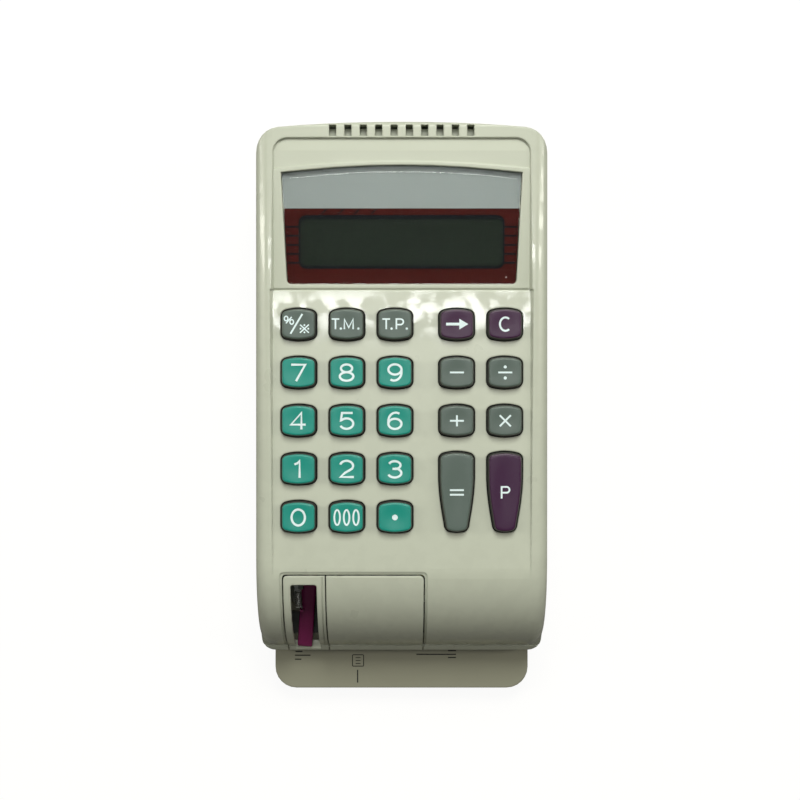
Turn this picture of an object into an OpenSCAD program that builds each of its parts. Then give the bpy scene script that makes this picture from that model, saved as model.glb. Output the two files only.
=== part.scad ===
// Desk check writer: keypad and display over a check throat, with print wheel and feed rollers inside.
// Frame: +X right, +Y to the back, +Z up; the origin is under the middle, at the bottom of the feet.

/* [Housing] */
// Half the width of the housing at the front
half_w = 61; // [59:0.5:64]
// Distance from the origin back to the rear edge
back_y = 122; // [120:0.5:128]
// Wall thickness of the upper and lower shells
wall = 2.2; // [1.6:0.1:2.6]
// Height of the joint between the two shells
split_z = 18; // [17.6:0.1:19]
// Radius of the rounded front
nose_r = 42; // [40:0.5:43]
// Depth position of the centre of the rounded front
nose_y = -59.5; // [-61:0.5:-58]
// Slope of the top edge of the shell, rising to the back
top_slope = 1.5; // [1:0.1:2]
// Rounding of the shoulders between top and sides
shoulder_r = 6; // [4:0.5:7]
// Height of the keyboard surface
panel_z = 57.6; // [57:0.1:57.8]
// Width of the raised rims beside the sunk panel
rim_w = 7.3; // [6:0.1:7.4]
// Slope of the display surround
hood_slope = 4.7; // [4:0.1:5]
// Number of air slots in the back edge
vent_count = 10; // [4:1:12]
// Spacing of the air slots
vent_pitch = 6.34; // [5.5:0.1:7]
// Width of one air slot
vent_w = 2.9; // [2:0.1:3.4]

/* [Keys] */
// Width of the web between two key openings side by side
key_web = 4.5; // [4.2:0.1:5.6]
// Height of the key tops over the panel
key_rise = 3.9; // [3:0.1:5]
// Travel of a key
key_travel = 1.3; // [0.8:0.1:1.6]
// Gap around a key in its opening
key_gap = 0.4; // [0.3:0.05:0.5]

/* [Window] */
// Web between the window's back corner and the side of the sunk panel
window_web = 3.7; // [3:0.1:5]
// Thickness of the clear window
lens_t = 2; // [1.5:0.1:2.5]
// Length of the display glass
lcd_l = 29; // [26:0.5:31]

/* [Check throat] */
// Height of the check table's surface
table_z = 11.5; // [11.3:0.1:11.8]
// Distance from the side of the housing in to the side of the check table
table_inset = 4.5; // [4:0.1:6]
// Distance from the origin forward to the table's front edge
table_front = 122; // [120:0.5:126]
// Corner radius of the check table
table_r = 9.5; // [6:0.5:12]
// Clear height of the throat between table and guide
throat_h = 5.5; // [5.2:0.1:5.8]
// Distance from the origin forward to the throat's closed end
throat_end = 50; // [49:0.5:50.5]

/* [Front covers] */
// Distance from the housing's left side to the front opening
hatch_inset = 11; // [10:0.1:12]
// Right side of the front opening
hatch_right = 9.7; // [9:0.1:10.4]
// Depth position of the top edge of the front opening
hatch_top = -65.9; // [-67:0.1:-65]
// Width of the lever bezel
bezel_w = 18.2; // [18:0.1:18.6]
// Gap around the front covers
cover_gap = 0.5; // [0.2:0.05:0.6]
// Width of the frame on the left of the lever slot
slot_web = 3.5; // [3.2:0.1:3.6]
// Width of the lever slot
slot_w = 11; // [10.8:0.1:11.6]

/* [Mechanism] */
// Radius of the type wheel over the characters
type_r = 10; // [9.4:0.1:10]
// Sideways place of the type wheel
type_x = -19.5; // [-20:0.1:-19]
// Radius of the ink roller
ink_r = 5.5; // [5:0.1:5.7]
// Radius of the feed rollers
feed_r = 3.6; // [3.4:0.1:3.6]
// Distance from the table's left side to the left feed roller
feed_inset = 10.5; // [10:0.1:11.5]
// Width of the purple lever
lever_w = 6.5; // [6:0.1:6.8]
// Radius of the release shaft
release_r = 2; // [1.8:0.1:2.1]
// Radial clearance of a shaft in its bearing
bearing_gap = 0.05; // [0.03:0.01:0.08]
// Radius of the lever spring's coils
spring_r = 1.4; // [1.2:0.1:1.6]
// Diameter of the spring wire
spring_wire = 0.5; // [0.4:0.05:0.6]
// Number of curls in the lever spring
spring_turns = 7; // [5:1:8]

/* [Base] */
// Height of the rubber feet under the base
foot_h = 2; // [1.6:0.1:2.4]
// Thickness of the base floor
floor_t = 1.8; // [1.6:0.1:2]
// Radius of a rubber foot
foot_r = 6; // [5:0.5:6.5]
// Diameter of a battery
battery_d = 14.2; // [13.8:0.1:14.4]
// Length of a battery without its button
battery_l = 49; // [48:0.5:50]

/* [Hidden] */
$fn = 48;
eps = 0.01;
far = 400;

cream = "#d8d6c2";

// Sizes that follow the width of the housing
half_w_back = half_w - 0.6;
panel_half_w = half_w - rim_w;
table_w = 2 * (half_w - table_inset);
key_pitch = panel_half_w * 0.3724;
key_w = key_pitch - key_web;
key_l = key_pitch - key_web - 1.2;
tall_key_l = 2 * key_pitch - key_web - 1.1;
window_half_back = panel_half_w - window_web;
window_half_front = window_half_back - 2.1;
lcd_w = 2 * window_half_front - 3.8;
hatch_left = hatch_inset - half_w;
hatch_split = hatch_left + bezel_w;
slot_left = hatch_left + slot_web;
feed_left_x = feed_inset - table_w / 2;
feed_right_x = table_w / 2 - feed_inset - 10;
side_clear = half_w - 15;

nose_z = split_z - 2;
chin_y = nose_y - nose_r - 2;
back_corner_r = 10.4;
back_arch_r = 540;
seam_step = 0.03;
back_round_r = 3.4;
panel_back_y = back_y - 6.7;
hood_y = 52.6;
ridge_y = back_y - 16.3;
ridge_arch_r = 466;
ridge_drop = 0.6;
front_corner_r = 5.5;
hood_z0 = panel_z - 0.3;
wall_draft = 0.28;
hood_draft = 0.25;
hood_draw_in = 0.5;
panel_corner_r = 6;
blend_r = 30;
blend_lift = 0.008;
blend_run = sqrt(max(0, pow(nose_r - blend_r, 2) - pow(panel_z - nose_z - blend_r, 2)));
blend_y = nose_y - blend_run - 0.15;
blend_end = nose_y - nose_r * blend_run / (nose_r - blend_r);
roof_t = wall;
vent_l = 4.7;
chin_line = 2.25;
baffle_z = panel_z - 1.2;
sheet_front = -50.5;
frame_front = chin_y + 7.5;
frame_back = -52;
frame_side = 3;

// Places of the keys
key_x = [-2.14, -1.14, -0.14, 1.1425, 2.1425] * key_pitch;
key_row_y = 38.3;
key_row_step = key_pitch;
tall_key_y = key_row_y - 3.4825 * key_row_step;
flange_grow = 0.9;
key_lean = 0.45;
key_corner_r = 3;
end_turn = 74;
tall_front_w = 10.6;
flange_t = 1.2;
panel_under = panel_z - roof_t;

// Circuit board and rubber sheet under the keys
board_top = 49;
board_t = 1.6;
board_front = -56.5;
board_back = back_y - 10;
board_half = panel_half_w - 3.8;
board_screws = [for (p = [[-1, 49.5], [1, 49.5], [-1, back_y - 13.5], [1, back_y - 13.5], [-0.74, -54],
    [0.74, -54]]) [p[0] * side_clear, p[1]]];
sheet_t = 1.2;
key_foot_z = board_top + 4.4;

// Throat
throat_back = -throat_end + 1.2;
guide_z = table_z + throat_h;
guide_t = 1.5;
frame_z = guide_z + guide_t;
frame_t = 1.5;
table_t = 2.5;

// Shafts of the print unit
release_y = -60;
release_z = 28;
type_y = -80;
type_z = guide_z + 0.2 + type_r;
gear_m = 0.8;
type_teeth = 20;
pinion_teeth = 10;
mesh_r = gear_m * (type_teeth + pinion_teeth) / 2;
motor_y = type_y + mesh_r * cos(45);
motor_z = type_z + mesh_r * sin(45);
ink_gap = 0.12;
ink_y = type_y + (type_r + ink_r + ink_gap) * cos(75);
ink_z = type_z + (type_r + ink_r + ink_gap) * sin(75);
ear_x = [feed_left_x - 5.6, -30, 11, feed_right_x + 7];
ear_t = 1.5;
small_r = 1.5;

// Feed
feed_z = table_z + 0.25 - feed_r;
feed_m = 0.6;
feed_teeth = 10;
feed_gear_teeth = 30;
feed_gear_z = feed_z + feed_m * (feed_teeth + feed_gear_teeth) / 2;
pinch_y = -76;
pinch_r = 3.4;
pinch_z = table_z + 0.55 + pinch_r;
pulley_r = 3.3;
belt_y = -42.5;
belt_w = 3;

// Hammer
hammer_y = -45;
hammer_z = 7.2;
plunger_z = hammer_z + 8.3;

// Lever, its spring and the hook of the spring
lever_x = slot_left + 7.3;
lever_swing = 4.6;
spring_len = 8.6;
spring_rings = 8;
spring_n = spring_turns * spring_rings;
spring_pitch = spring_len / spring_turns;
spring_place = [slot_left + 1.9, -75.4, 39.2];
spring_tilt = 35;
hook_x = spring_place[0] + spring_r;
hook_z = spring_place[2] + 0.6;
post_y = spring_place[1] - (spring_len + 2 * spring_wire) * cos(spring_tilt) - 0.5;

// Front cover hinge
hinge_y = chin_y + 2.3;
hinge_z = split_z + 2.6;
hinge_r = 1;

// Base
floor_z = foot_h + floor_t;
bay_half = 29;
bay_front = 40.5;
bay_back = 99.5;
cover_t = 1.8;
battery_pitch = 14.6;
battery_z = foot_h + cover_t + 0.3 + battery_d / 2;
bay_top = battery_z + battery_d / 2 + 0.3;
cover_half = 32;
boss_x = half_w - 5.4;
boss_y = [-38, 100];
screw_r = 1.45;
guide_screw_x = half_w - 5.3;
guide_screw_y = [-92, -56];
port_inset = 15;
jack_x = port_inset - half_w;
switch_x = half_w - port_inset;
switch_body = 5.6;

function arc(cx, cy, r, a0, a1, n) =
    [for (i = [0:n]) [cx + r * cos(a0 + (a1 - a0) * i / n), cy + r * sin(a0 + (a1 - a0) * i / n)]];
function mirrored(p) = concat(p, [for (i = [len(p) - 1:-1:0]) [-p[i][0], p[i][1]]]);
function hood_z(y) = hood_z0 + (y - hood_y) * tan(hood_slope);

// Plan outline of the shell, drawn in by d
function plan_half(d) = concat(
    arc(half_w - front_corner_r, chin_y + front_corner_r, front_corner_r - d, -90, 0, 6),
    arc(half_w_back - back_corner_r, back_y - 2.3 - back_corner_r, back_corner_r - d, 0, 84, 6),
    [for (x = [42, 32, 22, 11, 0]) [x, back_y - d - x * x / (2 * back_arch_r)]]);

// Rear end of a key outline: a corner arc of radius r that runs into a wide, flat arc
function key_end(w, l, r, from) = let (wide = r + (w / 2 - r) / cos(end_turn), mid = l / 2 - wide) concat(
    arc(w / 2 - r, mid + (wide - r) * sin(end_turn), r, from, end_turn, 5),
    [for (i = [1:3]) let (a = end_turn + (90 - end_turn) * i / 3) [wide * cos(a), mid + wide * sin(a)]]);
// Opening of a key, drawn out by grow; the sides of a tall key draw in to a narrow front end
function short_key(grow) = let (end = key_end(key_w + 2 * grow, key_l + 2 * grow, key_corner_r + grow, 0))
    mirrored(concat([for (i = [len(end) - 1:-1:0]) [end[i][0], -end[i][1]]], end));
function tall_key(grow) = let (w = key_w + 2 * grow, l = tall_key_l + 2 * grow, r = key_corner_r + grow,
    wf = tall_front_w + 2 * grow, end = key_end(wf, l, r, 14), y0 = -end[0][1] + 0.9, y1 = l * 0.2)
    mirrored(concat([for (i = [len(end) - 1:-1:0]) [end[i][0], -end[i][1]]],
    [for (t = [0.12:0.16:0.92]) [wf / 2 + (w - wf) / 2 * (1 - pow(1 - t, 1.7)), y0 + t * (y1 - y0)]],
    key_end(w, l, r, 0)));

// Window outline, drawn in by d, with an arched back edge
function window_half(d) = concat(
    arc(window_half_front - d - 2.2, hood_y + 2.5 + d + 2.2, 2.2, -90, -4, 4),
    [[window_half_back - d, back_y - 20.8 - d]],
    [for (x = [40, 27, 13, 0]) [x, back_y - 17.8 - d - x * x / 780]]);

// Gear outline with m tooth size and n teeth
function gear_points(m, n, turn) = [for (i = [0:n - 1]) for (k = [0:5])
    let (a = 360 / n * (i + [-0.27, -0.2, -0.09, 0.09, 0.2, 0.27][k]) + turn,
        r = m * (n / 2 + [-1.05, -0.1, 0.8, 0.8, -0.1, -1.05][k])) [r * cos(a), r * sin(a)]];

module block(lo, hi) {
    translate(lo) cube(hi - lo);
}
// A drawing in (y, z) carried from x0 to x1
module along_x(x0, x1) {
    translate([x0, 0, 0]) rotate([90, 0, 90]) linear_extrude(x1 - x0) children();
}
module x_rod(x0, x1, y, z, r) {
    translate([x0, y, z]) rotate([0, 90, 0]) cylinder(h = x1 - x0, r = r);
}
module y_rod(y0, y1, x, z, r) {
    translate([x, y0, z]) rotate([-90, 0, 0]) cylinder(h = y1 - y0, r = r);
}
module z_rod(z0, z1, x, y, r) {
    translate([x, y, z0]) cylinder(h = z1 - z0, r = r);
}
module x_gear(x0, x1, y, z, m, n, turn) {
    translate([x0, y, z]) rotate([90, 0, 90]) linear_extrude(x1 - x0) polygon(gear_points(m, n, turn));
}
module y_gear(y0, y1, x, z, m, n, turn) {
    translate([x, y1, z]) rotate([90, 0, 0]) linear_extrude(y1 - y0) polygon(gear_points(m, n, turn));
}

// Cross-section of the shell above the nose axis, drawn in by d
module section(d, low) {
    w = half_w + 0.3 - d;
    h = nose_r - d;
    r = shoulder_r - d;
    translate([-w, low]) square([2 * w, h - r - low]);
    translate([-w + r, low]) square([2 * w - 2 * r, h - low]);
    for (s = [-1, 1]) translate([s * (w - r), h - r]) circle(r);
}
// Rounded front: half of the section turned about the nose axis
module nose(d) {
    w = half_w + 0.3 - d;
    h = nose_r - d;
    r = shoulder_r - d;
    translate([0, nose_y, nose_z]) rotate([90, 0, -90]) rotate_extrude(angle = 92 - top_slope) {
        translate([0, -w]) translate([0, r]) square([h, 2 * w - 2 * r]);
        translate([0, -w]) square([h - r, 2 * w]);
        for (s = [-1, 1]) translate([h - r, s * (w - r)]) circle(r);
    }
}
module back_limit(d) {
    zc = nose_z + nose_r + 0.15 + (back_y - nose_y) * tan(top_slope) - back_round_r;
    along_x(-half_w - 5, half_w + 5) {
        translate([-far / 2, split_z]) square([far / 2 + back_y - back_round_r, far]);
        translate([back_y + 0.5 - back_round_r, zc]) circle(back_round_r - d);
        translate([back_y - back_round_r - 1, split_z]) square([back_round_r + 1.5 - d, zc - split_z]);
    }
}
// Outer form of the upper shell, drawn in by d
module shell_form(d) {
    intersection() {
        union() {
            translate([0, nose_y, nose_z]) rotate([top_slope, 0, 0]) translate([0, 200, 0])
                rotate([90, 0, 0]) linear_extrude(200) section(d - seam_step, -30);
            nose(d);
        }
        back_limit(d);
        translate([0, 0, d > 0 ? split_z - 1 : split_z]) linear_extrude(60)
            polygon(mirrored(plan_half(d)));
    }
}
module chin() {
    intersection() {
        along_x(-half_w, half_w) polygon([[chin_y + 15.5, split_z + 19.8], [chin_y, split_z + 2.4],
            [chin_y, split_z], [chin_y + 15.5, split_z]]);
        translate([0, 0, split_z]) linear_extrude(20) polygon(mirrored(plan_half(0)));
    }
}
// Line of the sunk panel and display surround, lowered by d
module panel_line(d) {
    along_x(-panel_half_w - 5, panel_half_w + 5) polygon([[-90, panel_z - d], [hood_y, panel_z - d],
        [hood_y + 0.01, panel_z - 0.8 - d], [hood_y + 0.6, panel_z - 0.8 - d],
        [hood_y + 0.61, hood_z(hood_y + 0.6) - d], [ridge_y, hood_z(ridge_y) - d],
        [back_y + 6, hood_z(ridge_y) - d], [back_y + 6, 90], [-90, 90]]);
}
// Space over the arched step behind the display surround, which rises and falls again
module ridge_cut() {
    step_z = hood_z(ridge_y) - ridge_drop;
    difference() {
        union() {
            translate([0, ridge_y, step_z]) rotate([4, 0, 0]) block([-far, -20, 0], [far, far, 30]);
            translate([0, ridge_y + 4.3, step_z + 0.3]) rotate([-2, 0, 0]) block([-far, -20, 0], [far, far, 30]);
        }
        translate([0, ridge_y - ridge_arch_r, 0]) cylinder(h = 100, r = ridge_arch_r, $fn = 180);
    }
}
// Space between the rims, whose walls lean out as they rise: beside the keys, then along the hood
module rim_space() {
    low = -4;
    high = 20;
    r = panel_corner_r;
    half = panel_half_w - hood_draw_in;
    run = (panel_back_y - hood_y) / cos(hood_slope);
    translate([0, hood_y + 0.1, panel_z]) rotate([90, 0, 0]) linear_extrude(150)
        polygon([for (p = [[-1, low], [1, low], [1, high], [-1, high]])
            [p[0] * (panel_half_w + p[1] * wall_draft), p[1]]]);
    translate([0, hood_y, hood_z0]) rotate([hood_slope, 0, 0]) {
        translate([0, run - r, 0]) rotate([90, 0, 0]) linear_extrude(run - r)
            polygon([for (p = [[-1, low], [1, low], [1, high], [-1, high]])
                [p[0] * (half + p[1] * hood_draft), p[1]]]);
        along_x(r - half, half - r) polygon([[1, low], [run + low * hood_draft, low],
            [run + high * hood_draft, high], [1, high]]);
        for (s = [-1, 1]) translate([s * (half - r), run - r, low])
            cylinder(h = high - low, r1 = r + low * hood_draft, r2 = r + high * hood_draft);
    }
}
module panel_cut() {
    intersection() {
        union() {
            panel_line(0);
            difference() {
                block([-panel_half_w - 5, blend_end, panel_z - 5], [panel_half_w + 5, blend_y, 90]);
                x_rod(-panel_half_w - 6, panel_half_w + 6, blend_y, panel_z + blend_lift - blend_r, blend_r);
            }
            ridge_cut();
        }
        rim_space();
    }
}
module shell_cavity() {
    difference() {
        shell_form(wall);
        intersection() {
            panel_line(roof_t);
            block([-panel_half_w - 2, nose_y - 8, 40], [panel_half_w + 2, back_y + 5, 90]);
        }
    }
}
module shell_skin() {
    difference() {
        union() {
            shell_form(0);
            chin();
        }
        shell_cavity();
        block([-far, chin_y + chin_line, split_z + 4.6], [far, chin_y + chin_line + 0.7, split_z + 9]);
    }
}
// Plan of the front opening between x0 and x1, drawn in by d, with rounded corners where asked
module hatch_zone(x0, x1, d, round_left = 1, round_right = 1) {
    rl = 0.1 + 1.5 * round_left;
    rr = 0.1 + 1.5 * round_right;
    translate([0, 0, split_z - 1]) linear_extrude(60) polygon(concat(
        [[x0 + d, chin_y - 5], [x1 - d, chin_y - 5]],
        arc(x1 - d - rr, hatch_top - d - rr, rr, 0, 90, 3),
        arc(x0 + d + rl, hatch_top - d - rl, rl, 90, 180, 3)));
}
module each_key(grow, extra) {
    for (r = [0:4]) for (c = [0:4])
        if (!(r > 2 && c > 2))
            translate([key_x[c], key_row_y - r * key_row_step, 0]) linear_extrude(extra)
                polygon(short_key(grow));
    for (c = [3, 4]) translate([key_x[c], tall_key_y, 0]) linear_extrude(extra)
        polygon(tall_key(grow));
}
module upper_housing() {
    color(cream) {
        difference() {
            shell_skin();
            panel_cut();
            translate([0, 0, 50]) each_key(0, 14);
            translate([0, 0, 45]) linear_extrude(30) polygon(mirrored(window_half(0)));
            for (i = [0:vent_count - 1])
                translate([(i - (vent_count - 1) / 2) * vent_pitch - vent_w / 2, panel_back_y + 0.6, 48])
                    cube([vent_w, vent_l, 30]);
            hatch_zone(hatch_left, hatch_right, 0);
            difference() {
                hatch_zone(hatch_left, hatch_right, -0.9);
                shell_form(0.5);
                block([-far, -far, 0], [far, far, split_z + 9]);
            }
            x_rod(hatch_right - 1, hatch_right + 1.7, hinge_y, hinge_z, hinge_r + bearing_gap);
        }
        for (x = [-boss_x, boss_x]) for (y = boss_y) difference() {
            z_rod(split_z, panel_under + 0.5, x, y, 3.8);
            z_rod(split_z - 1, 32, x, y, screw_r + bearing_gap);
        }
        block([-vent_count * vent_pitch / 2, panel_back_y - 1, baffle_z],
            [vent_count * vent_pitch / 2, back_y - 2.3, baffle_z + 1.5]);
        for (s = [-1, 1]) for (y = guide_screw_y) difference() {
            union() {
                z_rod(frame_z + frame_t, y < -80 ? 33 : panel_under + 0.2, s * guide_screw_x, y, 3.2);
                translate([s * (half_w - wall - 1) - 1.5, y - 1.2, frame_z + frame_t])
                    cube([3, 2.4, 12]);
            }
            z_rod(frame_z, 30, s * guide_screw_x, y, 1.3);
        }
        for (p = board_screws) difference() {
            z_rod(board_top, (p[1] > hood_y ? hood_z(ridge_y) : panel_z) - roof_t + 0.4, p[0], p[1], 2.4);
            z_rod(board_top - 1, board_top + 4.5, p[0], p[1], 1.3);
        }
    }
}
// Base, front pan and battery bay
module base_plan(half, front, r_front, rear, d) {
    polygon(mirrored(concat(
        arc(half - r_front, front + r_front, r_front - d, -90, 0, 5),
        arc(half - back_corner_r, rear - 2.3 - back_corner_r, back_corner_r - d, 0, 84, 5),
        [for (x = [40, 20, 0]) [x, rear - d - x * x / (2 * back_arch_r)]])));
}
module lower_housing() {
    tub_front = -throat_end;
    color(cream) difference() {
        union() {
            difference() {
                union() {
                    translate([0, 0, foot_h]) linear_extrude(split_z - foot_h)
                        base_plan(half_w_back, tub_front, 3, back_y, 0);
                    translate([0, 0, foot_h]) linear_extrude(table_z - table_t - foot_h)
                        polygon(concat(arc(table_w / 2 - 0.3 - table_r, 0.3 - table_front + table_r,
                            table_r, -90, 0, 5), [[table_w / 2 - 0.3, -40], [0.3 - table_w / 2, -40]],
                            arc(0.3 - table_w / 2 + table_r, 0.3 - table_front + table_r, table_r,
                            180, 270, 5)));
                }
                block([2.5 - table_w / 2, -table_front + 12, floor_z],
                    [table_w / 2 - 2.5, -40, table_z]);
                block([12 - table_w / 2, -table_front + 2.5, floor_z],
                    [table_w / 2 - 12, -40, table_z]);
                translate([0, 0, floor_z]) linear_extrude(far)
                    base_plan(half_w_back - wall, tub_front + wall, 2, back_y - wall, 0);
                block([-table_w / 2 - 0.2, -table_front, table_z - table_t],
                    [table_w / 2 + 0.2, throat_back, table_z]);
            }
            for (x = [-boss_x, boss_x]) for (y = boss_y)
                z_rod(foot_h, split_z, x, y, 4);
            block([-bay_half - 1.5, bay_front - 1.5, foot_h], [bay_half + 1.5, bay_back + 1.5, bay_top + 1.3]);
            block([-cover_half - 2, bay_front - 4, foot_h], [cover_half + 2, back_y - 1, floor_z + 1.9]);
            for (x = [feed_left_x, feed_right_x]) for (y = [-87, -64, -34])
                block([x - 2.6, y, foot_h + 1], [x + 2.6, y + 2, y > -50 ? feed_z + 2.6 : table_z - table_t]);
            for (x = [type_x - 3.6, type_x + 2.1])
                block([x, hammer_y - 2, foot_h + 1], [x + 1.5, hammer_y + 2, hammer_z + 2]);
            for (x = [type_x - 7, type_x + 5])
                block([x, -37, foot_h + 1], [x + 2, -19, plunger_z - 5.5]);
            for (y = [-31, -12]) block([feed_right_x - 6, y, foot_h + 1], [feed_right_x + 6, y + 2,
                feed_gear_z - 8.1]);
        }
        for (x = [-boss_x, boss_x]) for (y = boss_y) {
            z_rod(foot_h - 1, foot_h + 3, x, y, 3.1);
            z_rod(foot_h, split_z + 1, x, y, screw_r + 0.15);
        }
        block([-bay_half, bay_front, 0], [bay_half, bay_back, bay_top]);
        block([-cover_half - 0.25, bay_front - 2.5, 0], [cover_half + 0.25, back_y + 5, foot_h + 2]);
        block([-cover_half - 1.4, bay_front - 2.5, foot_h + 0.6], [cover_half + 1.4, back_y + 5, foot_h + 1.6]);
        for (x = [feed_left_x, feed_right_x])
            y_rod(pinch_y - 12, belt_y + 11.5, x, feed_z, small_r + bearing_gap);
        x_rod(type_x - 4, type_x + 4, hammer_y, hammer_z, 1 + bearing_gap);
        for (p = foot_places) z_rod(0, foot_h + 0.8, p[0], p[1], foot_r - 0.9);
        y_rod(back_y - 10, back_y + 2, jack_x, 10.2, 4.1);
        block([switch_x - 5, back_y - 10, 9], [switch_x + 5, back_y + 2, 12.6]);
    }
}
foot_places = [[14 - half_w, back_y - 15], [half_w - 14, back_y - 15], [17 - half_w, 18 - table_front],
    [half_w - 17, 18 - table_front]];

module check_table() {
    color("#8f8e7c") difference() {
        translate([0, 0, table_z - table_t]) linear_extrude(table_t) polygon(concat(
            arc(table_w / 2 - table_r, table_r - table_front, table_r, -90, 0, 6),
            [[table_w / 2, throat_back], [-table_w / 2, throat_back]],
            arc(table_r - table_w / 2, table_r - table_front, table_r, 180, 270, 6)));
        for (x = [feed_left_x, feed_right_x])
            block([x - feed_r - 0.7, pinch_y - 6.6, 0], [x + feed_r + 0.7, pinch_y + 6.6, 20]);
        for (x = [feed_left_x, feed_right_x]) y_rod(-90, throat_back + 1, x, feed_z, small_r + 0.35);
        block([type_x - 5.2, type_y - 5.4, 0], [type_x + 5.2, type_y + 5.8, 20]);
        block([type_x - 2.5, type_y + 5, 0], [type_x + 2.5, throat_back - 2, 20]);
    }
}
module throat_guide() {
    color("#8f8e7c") difference() {
        block([2.5 - half_w, chin_y + 6.2, guide_z], [half_w - 2.5, -throat_end - 0.2, frame_z]);
        block([6, type_y - 6, frame_z - 0.4], [10, type_y + 6, frame_z + 1]);
        for (x = [feed_left_x, feed_right_x])
            block([x - 4.4, pinch_y - 10.5, 0], [x + 4.4, pinch_y + 7, 30]);
        block([type_x - 3.6, type_y - 9, 0], [type_x + 3.6, type_y + 9, 30]);
        for (x = [-guide_screw_x, guide_screw_x]) for (y = guide_screw_y) {
            translate([x, y, guide_z - eps]) cylinder(h = 1.3, r1 = 2.5, r2 = 1.35);
            z_rod(guide_z - 1, 30, x, y, 1.35);
        }
    }
}
module lever_bezel() {
    color(cream) difference() {
        intersection() {
            shell_skin();
            hatch_zone(hatch_left, hatch_split + cover_gap / 2, cover_gap, 1, 0);
        }
        difference() {
            block([hatch_split - 1.7, -far, split_z + 6], [hatch_split - 1.2, hatch_top - 1, far]);
            shell_form(0.4);
        }
        translate([0, 0, split_z + 3.2]) linear_extrude(60) polygon(concat(
            [[slot_left, chin_y - 5], [slot_left + slot_w, chin_y - 5]],
            arc(slot_left + slot_w - 1, hatch_top - 5.4, 1, 0, 90, 3),
            arc(slot_left + 1, hatch_top - 5.4, 1, 90, 180, 3)));
        x_rod(hatch_split - 2.2, hatch_split + 1, hinge_y, hinge_z, hinge_r + bearing_gap);
    }
}
module ink_cover() {
    color(cream) {
        intersection() {
            shell_skin();
            hatch_zone(hatch_split - cover_gap / 2, hatch_right, cover_gap, 0, 1);
        }
        x_rod(hatch_split - 1.6, hatch_split + 1, hinge_y, hinge_z, hinge_r);
        x_rod(hatch_right - 1, hatch_right + 1.4, hinge_y, hinge_z, hinge_r);
    }
}
module release_lever() {
    color("#7a2454") difference() {
        union() {
            x_rod(lever_x - lever_w / 2, lever_x + lever_w / 2, release_y, release_z, 4);
            block([hook_x - 0.8, post_y - 1.2, 27.6], [hook_x + 0.8, post_y, 34]);
            translate([lever_x, release_y, 0]) rotate([0, 0, -lever_swing]) translate([0, -release_y, 0])
                along_x(-lever_w / 2, lever_w / 2) polygon([[-61.5, 31.6], [-70, 31.8], [-80, 30.6],
                    [-90, 28.2], [-98, 25.8], [-100.9, 24.9], [-101.7, 23.6], [-101.2, 22],
                    [-98, 22], [-90, 24.2], [-80, 26.6], [-70, 27], [-61.5, 25]]);
        }
        x_rod(-60, 0, release_y, release_z, release_r + 0.02);
    }
}
module yoke(x) {
    for (s = [-1, 1]) difference() {
        along_x(x - 3 * s - (s > 0 ? 0 : 1.4), x - 3 * s + (s > 0 ? 1.4 : 0)) union() {
            translate([release_y, release_z]) circle(3.6);
            polygon([[release_y + 1, release_z + 3.4], [release_y - 3.4, release_z + 1.2],
                [pinch_y - 6, 22], [pinch_y - 6, 20.4], [pinch_y + 4, 20.4], [release_y, release_z - 3.6]]);
        }
        x_rod(x - 4, x + 4, release_y, release_z, release_r);
    }
    block([x - 3, pinch_y - 6, 20.4], [x + 3, pinch_y + 5, 21.6]);
    for (y = [pinch_y - 6, pinch_y + 4.6]) difference() {
        block([x - 2.4, y, pinch_z - 1.8], [x + 2.4, y + 1.4, 21]);
        y_rod(y - 1, y + 3, x, pinch_z, 0.8 + bearing_gap);
    }
}
module release_shaft() {
    color("silver") {
        x_rod(ear_x[0] - 0.6, ear_x[3] + 2.2, release_y, release_z, release_r);
        for (x = [feed_left_x, feed_right_x]) yoke(x);
    }
}
module pinch_roller(x) {
    color("#3a3a3a") {
        y_rod(pinch_y - 4.2, pinch_y + 4.2, x, pinch_z, pinch_r);
        y_rod(pinch_y - 6, pinch_y + 6, x, pinch_z, 0.8);
    }
}
module pinch_roller_left() pinch_roller(feed_left_x);
module pinch_roller_right() pinch_roller(feed_right_x);

// Lever spring: one unbroken wire swept along a helix with straight ends
function spring_at(i) = i <= 0 ? [spring_r, 0, i * 2 * spring_wire] :
    i >= spring_n ? [spring_r, 0, spring_len + (i - spring_n) * 2 * spring_wire] :
    [spring_r * cos(360 * i / spring_rings), spring_r * sin(360 * i / spring_rings),
        spring_pitch * i / spring_rings];
function unit(v) = v / norm(v);
function spring_ring(i) = let (t = unit(spring_at(i + 0.5) - spring_at(i - 0.5)),
    u = unit(cross(t, [0.3, 0.2, 1])), v = cross(t, u))
    [for (k = [0:5]) spring_at(i) + spring_wire / 2 * (u * cos(60 * k) + v * sin(60 * k))];
spring_points = [for (i = [-1:spring_n + 1]) each spring_ring(i)];
spring_last = spring_n + 2;
spring_faces = concat(
    [for (k = [1:4]) [0, k, k + 1]],
    [for (i = [0:spring_last - 1]) for (k = [0:5]) each [
        [6 * i + k, 6 * i + 6 + k, 6 * i + 6 + (k + 1) % 6],
        [6 * i + k, 6 * i + 6 + (k + 1) % 6, 6 * i + (k + 1) % 6]]],
    [for (k = [1:4]) [6 * spring_last, 6 * spring_last + k + 1, 6 * spring_last + k]]);
spring_gap = min([for (i = [0:spring_n - spring_rings]) for (j = [spring_rings - 1:spring_rings + 1])
    if (i + j <= spring_n) norm(spring_at(i + j) - spring_at(i)) - spring_wire]);
echo(spring_least_gap = spring_gap);
module lever_spring() {
    color("silver") translate(spring_place) rotate([90 + spring_tilt, 0, 0]) polyhedron(spring_points, spring_faces);
}
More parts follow.
